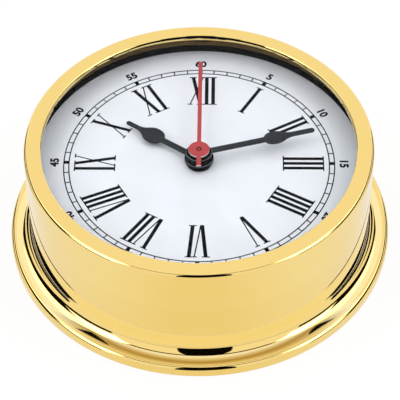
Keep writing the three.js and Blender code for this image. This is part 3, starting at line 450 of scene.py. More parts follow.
def draw_path(points: Sequence[Vector], closed: bool) -> Piece:
    """Draws a line of edges from one vertex, extruded from point to point.

    Args:
        points: the path, in metres.
        closed: whether the end is joined to the start.

    Returns:
        The new object, in edit mode.
    """
    deselect()
    bpy.ops.mesh.primitive_plane_add(size=MM, location=points[0])
    piece = bpy.context.object
    bpy.ops.object.transform_apply()
    edit_all()
    bpy.ops.mesh.select_mode(type="VERT")
    bpy.ops.mesh.merge(type="CENTER")
    for start, end in zip(points, points[1:]):
        bpy.ops.mesh.extrude_vertices_move(TRANSFORM_OT_translate={"value": end - start})
    if closed:
        ends = (points[0], points[-1])
        choose(piece, Domain.POINT, lambda at: min((at - e).length for e in ends) < NEAR)
        bpy.ops.mesh.edge_face_add()
    return piece


def turn(name: str, profile: Profile, steps: int = TURN_STEPS, closed: bool = True) -> Piece:
    """Turns a profile round the clock's axis.

    Args:
        name: the piece's name.
        profile: its corners, each one the values of a Corner.
        steps: facets round the axis.
        closed: whether the profile is a loop off the axis.

    Returns:
        The turned piece.
    """
    corners = [Corner(*values) for values in profile]
    piece = draw_path([corner.place for corner in corners], closed)
    for corner in corners:
        if corner.rounding:
            choose(piece, Domain.POINT, lambda at, p=corner.place: (at - p).length < NEAR)
            bpy.ops.mesh.bevel(
                offset=corner.rounding * MM,
                segments=max(ROUND_SEGMENTS, round(SEGMENTS_PER_MM * corner.rounding)),
                profile=0.5,
                affect="VERTICES",
            )
    edit_all()
    bpy.ops.mesh.spin(steps=steps, angle=FULL_TURN, center=CENTRE, axis=AXIS)
    piece.name = name
    return clean(piece)


def sheet(points: Sequence[Point], bottom: float, top: float) -> Piece:
    """Fills a flat outline and gives it its thickness.

    Args:
        points: the outline, mm.
        bottom: level of its underside, mm.
        top: level of its upper side, mm.

    Returns:
        The new solid.
    """
    piece = draw_path([Vector((x, y, bottom)) * MM for x, y in points], True)
    edit_all()
    bpy.ops.mesh.edge_face_add()
    lift = {"value": (0.0, 0.0, (top - bottom) * MM)}
    bpy.ops.mesh.extrude_region_move(TRANSFORM_OT_translate=lift)
    return clean(piece)


def swing(piece: Piece, clockwise: float) -> Piece:
    """Turns a piece round the clock's axis.

    Args:
        piece: the piece.
        clockwise: how far from twelve, degrees.

    Returns:
        The same piece.
    """
    activate([piece])
    piece.rotation_euler = (0.0, 0.0, -math.radians(clockwise))
    bpy.ops.object.transform_apply()
    return piece


def paint(piece: Piece, finishes: Sequence[Finish], pick: Callable[[Face], int]) -> None:
    """Gives each face of a piece one of several finishes.

    Args:
        piece: the piece, which has no finish yet.
        finishes: the finishes, the main one first.
        pick: says which of them a face gets, counted from zero.
    """
    for finish in finishes:
        piece.data.materials.append(finish.material())
    for face in piece.data.polygons:
        face.material_index = int(pick(face))


def dress(
    piece: Piece, finish: Finish, nodes: Iterable[str] = (), body: str = FIXED_BODY
) -> None:
    """Gives a new piece its main finish and its place in the frame.

    Args:
        piece: the new piece.
        finish: its material.
        nodes: the CAD nodes that it stands for.
        body: the body that it rides on.
    """
    if piece.data.materials:
        piece.data.materials[0] = finish.material()
    else:
        piece.data.materials.append(finish.material())
    modify(piece, "WEIGHTED_NORMAL", keep_sharp=True)
    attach(piece, body)
    for node in nodes:
        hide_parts(node)
    LOG.info("%s rides on %s in %s", piece.name, body, finish.name)


def reuse(
    name: str, node: str, width: float, finish: Finish, body: str = FIXED_BODY
) -> None:
    """Replaces a CAD node by a copy with merged triangles and rounded edges.

    Args:
        name: the new piece's name.
        node: the CAD node.
        width: width of the rounded edges, mm.
        finish: the new piece's material.
        body: the body that it rides on.
    """
    activate([frame["nodes"][node]])
    bpy.ops.object.duplicate(linked=False)
    piece = bpy.context.object
    piece.parent = None
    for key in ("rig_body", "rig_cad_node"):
        if key in piece:
            del piece[key]
    piece.name = name
    clean(piece)
    edit_all()
    bpy.ops.mesh.dissolve_limited(angle_limit=FLAT_ANGLE)
    rounding = {"width": width * MM, "segments": 2}
    modify(piece, "BEVEL", limit_method="ANGLE", angle_limit=SMOOTH_ANGLE, **rounding)
    dress(clean(piece), finish, [node], body)


@dataclass
class Case:
    """The spun brass case with its flange, rolled rim, straight body and front lip."""

    flange_radius: float = 75.0
    body_radius: float = 66.75
    height: float = 47.5
    sheet: float = 1.2
    rim_height: float = 4.2
    rim_fillet: float = 1.6
    bend_radius: float = 71.4  # where the flange starts to climb
    bend: float = 1.85
    climb: float = 0.99  # how far it has climbed at the body
    cove: float = 3.08
    cove_under: float = 5.0
    lip_width: float = 6.75
    lip_fillet: float = 1.25
    lip_depth: float = 1.7
    lip_round: float = 0.75
    sheet_edge: float = 0.25
    shade_end: float = 60.0  # how far from twelve the painted shade on the lip's inner edge runs, degrees

    def build(self) -> None:
        """Builds the case and dresses it."""
        inner = self.body_radius - self.sheet
        opening = self.body_radius - self.lip_width
        lip_end = self.height - self.lip_depth
        lip_under = self.height - self.sheet
        rim_inner = self.flange_radius - self.sheet
        under = self.rim_height - self.sheet
        shell = turn("case_shell", [
            (rim_inner, 0.0, self.sheet_edge), (self.flange_radius, 0.0, self.sheet_edge),
            (self.flange_radius, self.rim_height, self.rim_fillet),
            (self.bend_radius, self.rim_height, self.bend),
            (self.body_radius, self.rim_height + self.climb, self.cove),
            (self.body_radius, self.height, self.lip_fillet),
            (opening, self.height, self.lip_round), (opening, lip_end, self.sheet_edge / 2),
            (opening + self.sheet, lip_end), (opening + self.sheet, lip_under),
            (inner, lip_under), (inner, under, self.cove_under), (rim_inner, under),
        ])
        # The lip's inner rounding is painted black, widest at twelve and gone 60 degrees from it:
        # painted shade.
        paint(shell, (POLISHED_BRASS, BLACK_LACQUER), self._in_painted_shade)
        dress(shell, POLISHED_BRASS, ["case"])

    def _in_painted_shade(self, face: Face) -> bool:
        """Says whether a face is in the painted shade on the lip's inner edge, black and widest at
        twelve.

        Args:
            face: a face of the shell.

        Returns:
            Whether it is black.
        """
        inwards = self.body_radius - self.lip_width + self.lip_round - face.center.xy.length / MM
        above = face.center.z / MM - (self.height - self.lip_round)
        slope = math.atan2(inwards, above)
        aside = math.degrees(math.atan2(abs(face.center.x), face.center.y))
        return min(inwards, above) > 0 and slope > math.pi / 2 * aside / self.shade_end


@dataclass
class Glazing:
    """The glass, its retaining ring and the black band over the dial."""

    drop_in: float = 65.25
    ring_inner: float = 63.2
    glass_bottom: float = 44.2
    glass_top: float = 45.7
    ring_bottom: float = 40.0
    ring_top: float = 44.1
    ring_chamfer: float = 0.5
    band_top: float = 39.9
    band_bottom: float = 36.4
    undercut: float = 63.6
    seat: float = 36.1
    edge: float = 0.12

    def build(self) -> None:
        """Builds the pane, the brass ring under it and the black band under the ring."""
        self._pane()
        ring = turn("glass_ring", [
            (self.ring_inner, self.ring_bottom), (self.drop_in, self.ring_bottom),
            (self.drop_in, self.ring_top), (self.ring_inner + self.ring_chamfer, self.ring_top),
            (self.ring_inner, self.ring_top - self.ring_chamfer),
        ])
        # The ring is dark brown: painted reflection of the dark recess round the glass.
        dress(ring, TURNED_BRASS_PAINTED_DARK, ["glass_retaining_ring"])
        band = turn("dial_band", [
            (self.undercut, self.seat), (self.drop_in, self.seat),
            (self.drop_in, self.band_top), (self.ring_inner, self.band_top, self.edge),
            (self.ring_inner, self.band_bottom, self.edge), (self.undercut, self.band_bottom),
        ])
        dress(band, BLACK_LACQUER, ["dial_spacer_ring"])

    def _pane(self) -> None:
        """Builds the flat glass with its ground edge."""
        deselect()
        bpy.ops.mesh.primitive_cylinder_add(
            vertices=TURN_STEPS,
            radius=self.drop_in * MM,
            depth=(self.glass_top - self.glass_bottom) * MM,
            location=(0.0, 0.0, (self.glass_top + self.glass_bottom) / 2 * MM),
        )
        pane = bpy.context.object
        pane.name = "glass_pane"
        bpy.ops.object.transform_apply()
        levels = (self.glass_bottom * MM, self.glass_top * MM)
        choose(pane, Domain.EDGE, lambda at: min(abs(at.z - z) for z in levels) < NEAR)
        bpy.ops.mesh.bevel(offset=self.edge * MM, segments=1, affect="EDGES")
        dress(clean(pane), CLEAR_GLASS, ["glass"])


class Weight(Enum):
    """Widths of the strokes of the hour figures, mm."""

    THICK = 1.42
    THIN = 0.5


@dataclass(frozen=True)
class Stroke:
    """One stroke of an hour figure, from its foot to its top, mm."""

    foot: float
    top: float
    weight: Weight = Weight.THICK
    footed: bool = True  # with a serif at the foot


def upright(*places: float, lean: float = 0.0) -> list[Stroke]:
    """Lists the strokes of ones: their feet, and how far the tops lean out."""
    return [Stroke(place, place + lean) for place in places]


def five(foot: float, left: float, right: float) -> list[Stroke]:
    """Lists the two strokes of a five, which meet in a point at the foot."""
    thin = Stroke(foot + Weight.THIN.value, right, Weight.THIN, footed=False)
    return [Stroke(foot, left, footed=False), thin]


def ten(middle: float, steep: float = 1.5, wide: float = 2.6) -> list[Stroke]:
    """Lists the two strokes of a ten, the thick one steeper than the thin one."""
    thin = Stroke(middle - wide, middle + wide, Weight.THIN)
    return [Stroke(middle + steep, middle - steep), thin]


HOUR_FIGURES: tuple[list[Stroke], ...] = (
    upright(0.0),
    upright(-1.25, 1.25),
    upright(-2.5, 0.0, 2.5),
    upright(-3.6, -1.2, 1.2, 3.6),
    five(0.0, -2.0, 2.0),
    five(-1.6, -3.1, 1.2) + upright(1.9, lean=1.3),
    five(-2.9, -4.6, -0.2) + upright(0.3, 2.7, lean=1.5),
    five(-4.0, -5.9, -1.5) + upright(-0.9, 1.5, 3.9, lean=1.5),
    upright(-3.2) + ten(1.0),
    ten(0.0),
    ten(-1.5) + upright(3.2),
    ten(-1.5) + upright(2.5, 5.1),
)


@dataclass
class Dial:
    """The enamelled dial with its printed hour figures, minute track and minute numbers."""

    radius: float = 65.25
    hole: float = 3.58
    bottom: float = 35.2
    top: float = 36.0
    edge: float = 0.1
    ink_gap: float = 0.005
    ink: float = 0.03
    figure_foot: float = 32.2
    figure_top: float = 48.1
    serif: float = 0.48
    serif_reach: float = 0.75
    track_inner: float = 49.9
    track_outer: float = 52.35
    track_line: float = 0.46
    tick: float = 0.46
    five_tick: float = 1.55
    number_radius: float = 55.6
    number_size: float = 4.5
    number_weight: float = 0.19
    number_facets: int = 4  # to each curve of a number

    @property
    def ink_levels(self) -> Point:
        """Returns the lower and upper level of the ink."""
        bottom = self.top + self.ink_gap
        return bottom, bottom + self.ink

    def build(self) -> None:
        """Builds the plate and what is printed on it."""
        plate = turn("dial_plate", [
            (self.hole, self.bottom), (self.radius, self.bottom),
            (self.radius, self.top, self.edge), (self.hole, self.top, self.edge),
        ])
        dress(plate, WHITE_ENAMEL, ["dial"])
        for piece in (self._hours(), self._track(), self._minutes()):
            dress(piece, PRINT_INK)

    def _hours(self) -> Piece:
        """Prints the twelve hour figures, their feet towards the centre.

        Returns:
            The figures as one object.
        """
        made = []
        for hour, strokes in enumerate(HOUR_FIGURES, 1):
            parts = [part for stroke in strokes for part in self._stroke(stroke)]
            made.append(swing(join(f"hour_{hour}", parts), HOUR_STEP * hour))
        return join("hour_figures", made)

    def _stroke(self, stroke: Stroke) -> list[Piece]:
        """Prints one stroke with its serifs.

        Args:
            stroke: where it runs and how wide it is.

        Returns:
            The stroke and its serifs.
        """
        half = stroke.weight.value / 2
        reach = half + self.serif_reach
        low, high = self.figure_foot, self.figure_top
        feet = [(stroke.foot - half, low), (stroke.foot + half, low)]
        tops = [(stroke.top + half, high), (stroke.top - half, high)]
        head = rectangle(stroke.top - reach, stroke.top + reach, high - self.serif, high)
        outlines = [feet + tops, head]
        if stroke.footed:
            outlines.append(rectangle(stroke.foot - reach, stroke.foot + reach, low, low + self.serif))
        return [sheet(outline, *self.ink_levels) for outline in outlines]

    def _track(self) -> Piece:
        """Prints the two rings of the minute track and its ticks.

        Returns:
            The track as one object.
        """
        parts = []
        for inner in (self.track_inner, self.track_outer - self.track_line):
            profile = rectangle(inner, inner + self.track_line, *self.ink_levels)
            parts.append(turn("track_ring", profile))
        parts += [self._ticks(self.tick, MINUTES), self._ticks(self.five_tick, HOURS)]
        return join("minute_track", parts)

    def _ticks(self, width: float, count: int) -> Piece:
        """Prints one tick and repeats it round the dial.

        Args:
            width: width of the tick, mm.
            count: how many there are.

        Returns:
            The ticks as one object.
        """
        inner = self.track_inner + self.track_line / 2
        outer = self.track_outer - self.track_line / 2
        tick = sheet(rectangle(-width / 2, width / 2, inner, outer), *self.ink_levels)
        edit_all()
        bpy.ops.mesh.spin(steps=count, dupli=True, angle=FULL_TURN, center=CENTRE, axis=AXIS)
        return clean(tick)

    def _minutes(self) -> Piece:
        """Prints the minute numbers, their tops outwards.

        Returns:
            The numbers as one object.
        """
        bottom, top = self.ink_levels
        made = []
        for hour in range(1, HOURS + 1):
            deselect()
            bpy.ops.object.text_add()
            number = bpy.context.object
            text = number.data
            text.body = str(MINUTES // HOURS * hour)
            text.size = self.number_size * MM
            text.offset = self.number_weight * MM
            text.extrude = (top - bottom) / 2 * MM
            text.resolution_u = self.number_facets
            text.align_x = "CENTER"
            text.align_y = "CENTER"
            bpy.ops.object.convert(target="MESH")
            number.location = Vector((0.0, self.number_radius, (top + bottom) / 2)) * MM
            made.append(swing(clean(number), HOUR_STEP * hour))
        return join("minute_numbers", made)


def curve_points(start: Point, lead: Point, arrive: Point, end: Point, count: int = 12) -> list[Point]:
    """Lists points of a cubic curve after its start.

    Args:
        start: where it begins.
        lead: the handle of the start.
        arrive: the handle of the end.
        end: where it ends.
        count: how many points.

    Returns:
        The points, the end included.
    """
    points = []
    for i in range(1, count + 1):
        t = i / count
        shares = ((1 - t) ** 3, 3 * t * (1 - t) ** 2, 3 * t * t * (1 - t), t**3)
        pulls = list(zip(shares, (start, lead, arrive, end)))
        points.append((sum(s * p[0] for s, p in pulls), sum(s * p[1] for s, p in pulls)))
    return points


@dataclass(frozen=True)
class Spade:
    """A spade hand: half widths and distances from the centre, mm."""

    name: str
    node: str
    body: str
    clockwise: float
    bottom: float
    top: float
    boss: float
    bore: float
    shaft: float
    neck: float
    belly: float
    belly_half: float
    taper: float
    tip_half: float
    tip: float
    rise: float
    edge: float = 0.35
    highlit_slope: Point = (0.4, 0.9)  # the upward part of the normals where the edge gets a painted highlight
    thickness: float = 0.5
    blade_edge: float = 0.1

    def outline(self) -> list[Point]:
        """Draws the blade's outline.

        Returns:
            Its points, right side first.
        """
        swell = self.belly - (self.belly - self.neck) / 2
        run = (self.taper - self.belly) / 2
        widest = (self.belly_half, self.belly)
        narrow = (self.tip_half, self.taper)
        shoulder = (self.belly_half - self.tip_half, self.neck)
        right: list[Point] = [(self.shaft, 0.0), (self.shaft, self.neck)]
        right += curve_points(right[-1], shoulder, (self.belly_half, swell), widest)
        belly_run = (self.belly_half, self.belly + run)
        right += curve_points(widest, belly_run, (self.tip_half, self.taper - run), narrow)
        for i in range(TIP_STEPS):
            angle = math.pi / 2 * i / TIP_STEPS
            height = self.tip - self.tip_half + self.tip_half * math.sin(angle)
            right.append((self.tip_half * math.cos(angle), height))
        left = [(-x, y) for x, y in reversed(right)]
        return right + [(0.0, self.tip)] + left

    def build(self) -> None:
        """Builds blade and collet and sets the hand to its time."""
        low = self.bottom + self.rise
        high = low + self.thickness
        blade = sheet(self.outline(), low, high)
        blade.data.materials.append(CHARCOAL_LACQUER.material())
        choose(blade, Domain.EDGE, lambda at: abs(at.z - high * MM) < NEAR)
        bpy.ops.mesh.bevel(offset=self.blade_edge * MM, segments=2, affect="EDGES")
        profile = [
            (self.bore, self.bottom), (self.boss, self.bottom, self.edge / 2),
            (self.boss, self.top, self.edge), (self.bore, self.top),
        ]
        collet = turn("collet", profile, SMALL_STEPS)
        # The sloping faces of the collet's upper edge are painted grey: a painted highlight.
        paint(collet, (BLACK_NYLON, NYLON_HIGHLIGHT), self._is_highlit)
        hand = swing(clean(join(self.name, [blade, collet])), self.clockwise)
        dress(hand, CHARCOAL_LACQUER, [self.node], self.body)

    def _is_highlit(self, face: Face) -> bool:
        """Says whether a face of the collet is on its upper edge, where a highlight is painted."""
        upper = face.center.z > (self.top - self.edge) * MM
        return upper and self.highlit_slope[0] < face.normal.z < self.highlit_slope[1]


@dataclass
class SecondHand:
    """The red second hand with its round disc, its short tail and its bright cut edge."""

    bottom: float = 42.5
    sheet_bottom: float = 43.2
    top: float = 43.7
    disc: float = 4.1
    tip: float = 48.9
    tail: float = 8.7
    half: float = 0.78
    tail_half: float = 0.9
    collet: float = 1.6
    bore: float = 0.83
    rivet: float = 0.55
    groove: float = 1.05
    groove_depth: float = 0.2
    near_rivet: float = 1.575  # the groove lies well inside
    edge: float = 0.08

    def build(self) -> None:
        """Builds the hand."""
        tail = [(-self.half, 0.0), (-self.tail_half, -self.tail), (self.tail_half, -self.tail)]
        front = [(self.half, 0.0), (self.half, self.tip), (-self.half, self.tip)]
        blade = sheet(tail + front, self.sheet_bottom, self.top)
        profile = [
            (0.0, self.top), (self.disc, self.top, self.edge),
            (self.disc, self.sheet_bottom), (self.collet, self.sheet_bottom),
            (self.collet, self.bottom), (self.bore, self.bottom),
            (self.bore, self.sheet_bottom), (0.0, self.sheet_bottom),
        ]
        hand = turn("red_second_hand", profile, SMALL_STEPS, closed=False)
        combine(hand, blade, "UNION")
        levels = (self.top - self.groove_depth, self.top + self.groove_depth)
        groove = turn("rivet_groove", rectangle(self.rivet, self.groove, *levels), SMALL_STEPS)
        combine(hand, groove, "DIFFERENCE")
        # The groove round the rivet is painted black nylon: painted shade in the groove.
        paint(clean(hand), (RED_LACQUER, BARE_ALUMINIUM, BLACK_NYLON), self._finish)
        dress(hand, RED_LACQUER, ["second_hand"], "second_body")

    def _finish(self, face: Face) -> int:
        """Picks a face's finish.

        Args:
            face: a face of the hand.

        Returns:
            Zero for lacquer, one for the cut edge and two for the groove round the rivet, painted
            black as shade.
        """
        if face.center.z <= self.sheet_bottom * MM + NEAR:
            return 0
        if face.center.xy.length > self.near_rivet * MM:
            return 1 if face.normal.z < STEEP else 0
        return 2 if face.center.z < self.top * MM - NEAR else 0


@dataclass
class Back:
    """What carries the clock on the wall: support ring, back plate and its screws."""

    ring_inner: float = 59.4
    ring_outer: float = 61.0
    ring_flange: float = 64.4
    ring_bottom: float = 3.0
    ring_top: float = 35.1
    wall: float = 1.6
    plate_edge: float = 0.2
    screw_count: int = 3
    screw_radius: float = 1.2
    head_radius: float = 2.3
    head_bottom: float = 0.6
    head_top: float = 1.6
    screw_top: float = 9.6
    head_round: float = 0.45
    slot_width: float = 0.6
    slot_depth: float = 0.5
    slot_length: float = 6.9  # well past the head
    edge: float = 0.15

    def build(self) -> None:
        """Builds the ring, the plate and the screws."""
        ring = turn("dial_carrier", [
            (self.ring_inner, self.ring_bottom, self.edge),
            (self.ring_outer, self.ring_bottom, self.edge),
            (self.ring_outer, self.ring_top - self.wall),
            (self.ring_flange, self.ring_top - self.wall), (self.ring_flange, self.ring_top),
            (self.ring_inner, self.ring_top),
        ])
        dress(ring, MOULDED_ABS, ["dial_support_ring"])
        reuse("rear_plate", "back_plate", self.plate_edge, POWDER_COAT)
        for number in range(1, self.screw_count + 1):
            self._screw(number)

    def _screw(self, number: int) -> None:
        """Builds one slotted screw at the place of its CAD node.

        Args:
            number: which of the three.
        """
        profile = [
            (0.0, self.head_bottom), (self.head_radius, self.head_bottom, self.head_round),
            (self.head_radius, self.head_top), (self.screw_radius, self.head_top),
            (self.screw_radius, self.screw_top, self.head_round), (0.0, self.screw_top),
        ]
        screw = turn(f"slotted_screw_{number}", profile, SMALL_STEPS, closed=False)
        deselect()
        bpy.ops.mesh.primitive_cube_add(size=1.0, location=(0.0, 0.0, self.head_bottom * MM))
        cutter = bpy.context.object
        cutter.scale = Vector((self.slot_length, self.slot_width, 2 * self.slot_depth)) * MM
        combine(screw, cutter, "DIFFERENCE")
        low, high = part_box(f"back_screw_{number}")
        screw.location = Vector(((low.x + high.x) / 2, (low.y + high.y) / 2, 0.0))
        dress(clean(screw), ZINC_STEEL, [f"back_screw_{number}"])


@dataclass
class Movement:
    """The quartz movement, and the finishes of all CAD pieces that stay as they are."""

    housing_edge: float = 0.35
    knob_edge: float = 0.18
    battery_radius: float = 7.1
    battery_length: float = 49.0
    nub_radius: float = 2.7
    nub_length: float = 1.2
    battery_edge: float = 0.6
    finishes: tuple[tuple[Finish, tuple[str, ...]], ...] = (
        (NITRILE_RUBBER, ("glass_gasket", "movement_pad")),
        (TURNED_BRASS_PAINTED_DARK, ("case_lug_1", "case_lug_2", "case_lug_3", "centre_bush", "minute_arbor")),
        (BLACK_NYLON, ("bush_washer",)),
        (BLACK_LACQUER, ("bush_nut",)),
        (ZINC_STEEL, ("clutch_spring", "stator", "coil_core", "quartz_crystal")),
        (ZINC_STEEL, ("battery_contact_positive", "battery_contact_negative")),
        (NATURAL_ACETAL, ("train_bridge", "hour_wheel", "centre_wheel", "minute_wheel")),
        (NATURAL_ACETAL, ("third_wheel", "second_wheel", "intermediate_wheel")),
        (NATURAL_ACETAL, ("setting_shaft", "rotor", "coil_bobbin")),
        (FERRITE, ("rotor_magnet",)),
        (COPPER_WIRE, ("coil_winding",)),
        (SOLDER_MASK, ("circuit_board",)),
        (POTTING_RESIN, ("chip_cover",)),
    )

    def build(self) -> None:
        """Builds the housing, knob and battery, and dresses the CAD nodes that stay."""
        edge = self.knob_edge
        reuse("movement_shell", "movement_tray", self.housing_edge, MOULDED_ABS)
        reuse("movement_back", "movement_rear_cover", edge, MOULDED_ABS)
        reuse("ridged_knob", "setting_knob", edge, NATURAL_ACETAL, "setting_body")
        self._battery()
        for finish, nodes in self.finishes:
            for node in nodes:
                materials = frame["nodes"][node].data.materials
                materials.clear()
                materials.append(finish.material())
                LOG.info("%s stays, in %s", node, finish.name)

    def _battery(self) -> None:
        """Builds the cell, with a sleeve and bare ends."""
        length = self.battery_length + self.nub_length
        inner = self.battery_radius - self.battery_edge
        bare = inner - self.battery_edge
        profile = [
            (0.0, 0.0), (inner, 0.0),
            (self.battery_radius, 0.0, self.battery_edge),
            (self.battery_radius, self.battery_length, self.battery_edge),
            (bare, self.battery_length), (self.nub_radius, self.battery_length),
            (self.nub_radius, length, self.battery_edge / 2), (0.0, length),
        ]
        cell = turn("dry_cell", profile, SMALL_STEPS, closed=False)
        paint(cell, (SHRINK_SLEEVE, ZINC_STEEL), lambda face: face.center.xy.length < bare * MM)
        low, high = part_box("battery")
        cell.rotation_euler = (0.0, math.pi / 2, 0.0)
        cell.location = Vector((low.x, (low.y + high.y) / 2, (low.z + high.z) / 2))
        dress(clean(cell), SHRINK_SLEEVE, ["battery"])


class Seen(Enum):
    """In which reflections a board is seen."""

    FIRST = "first"
    SECOND = "second"  # brass mirrored in brass


@dataclass(frozen=True)
class Board:
    """A softbox or a dark card that is seen in the brass.

    Each corner is a direction from the clock, in degrees: how far to the right of the
    front, and how far over the floor.
    """

    name: str
    corners: tuple[Point, Point, Point, Point]
    level: float = 0.0  # brightness; a dark card has none
    seen: Seen = Seen.FIRST
    tint: str = WHITE

    def places(self, distance: float) -> list[Vector]:
        """Lists its corners in metres.

        Args:
            distance: how far away they are, mm.

        Returns:
            The four corners.
        """
        made = []
        for aside, above in self.corners:
            flat = math.cos(math.radians(above))
            x, y = math.sin(math.radians(aside)), -math.cos(math.radians(aside))
            way = Vector((flat * x, flat * y, math.sin(math.radians(above))))
            made.append(way * distance * MM)
        return made


BOARDS = (
    Board("front_card", ((-11.5, 0.3), (18, 0.3), (29, 80), (-17, 80))),
    Board("front_rail", ((-49, 1), (57, 1), (57, 2.5), (-49, 2.5))),
    Board("overhead_rail", ((-53.7, 60.8), (53.7, 60.8), (75, 65), (-75, 65))),
    Board("left_card", ((-84, 13), (-150, 37), (-150, 44), (-84, 48))),
    Board("left_low_card", ((-97, 0.2), (-140, 0.2), (-140, 27), (-104, 5))),
    Board("left_deep_card", ((-80, 0.2), (-150, 0.2), (-150, 34), (-80, 34)), seen=Seen.SECOND),
    Board("left_high_card", ((-74, 58), (-108, 55), (-108, 62), (-80, 60)), seen=Seen.SECOND),
    Board("left_rail", ((-49, 4), (-84, 12), (-84, 28), (-49, 20))),
    Board("left_low_box", ((-49, 29), (-85, 35), (-85, 47), (-51, 46)), 4.0),
    Board("left_high_box", ((-51, 46), (-85, 47), (-88, 69), (-56, 62)), 4.0),
    Board("left_back_box", ((-85, 50), (-150, 46), (-150, 60), (-88, 70)), 2.4),
    Board("left_far_box", ((-150, 36), (-163, 39), (-163, 62), (-150, 62)), 1.65, tint="D7DEFF"),
    Board("right_card", ((86, 12), (150, 35), (150, 43), (86, 42))),
    Board("right_low_card", ((97, 0.2), (140, 0.2), (140, 24), (104, 4))),
    Board("right_deep_card", ((82, 0.2), (150, 0.2), (150, 32), (82, 32)), seen=Seen.SECOND),
    Board("right_high_card", ((94, 58), (125, 55), (125, 62), (100, 60)), seen=Seen.SECOND),
    Board("right_rail", ((57, 5), (88, 12), (88, 24), (57, 20))),
    Board("right_low_box", ((55, 30), (90, 31), (90, 46), (57, 46)), 4.0),
    Board("right_high_box", ((57, 46), (90, 46), (95, 66), (62, 62)), 4.0),
    Board("right_back_box", ((92, 46), (150, 45), (150, 58), (95, 67)), 2.4),
    Board("right_far_box", ((150, 36), (163, 39), (163, 62), (150, 62)), 1.65, tint="D7DEFF"),
)


def mirrored_again(tree: Tree) -> Socket:
    """Adds nodes that are one for a reflection that is itself seen in a mirror."""
    depth = add_node(tree, "LightPath")["Glossy Depth"]
    return add_node(tree, "Math", {"operation": "GREATER_THAN", 1: SECOND_MIRROR}, {0: depth})[0]


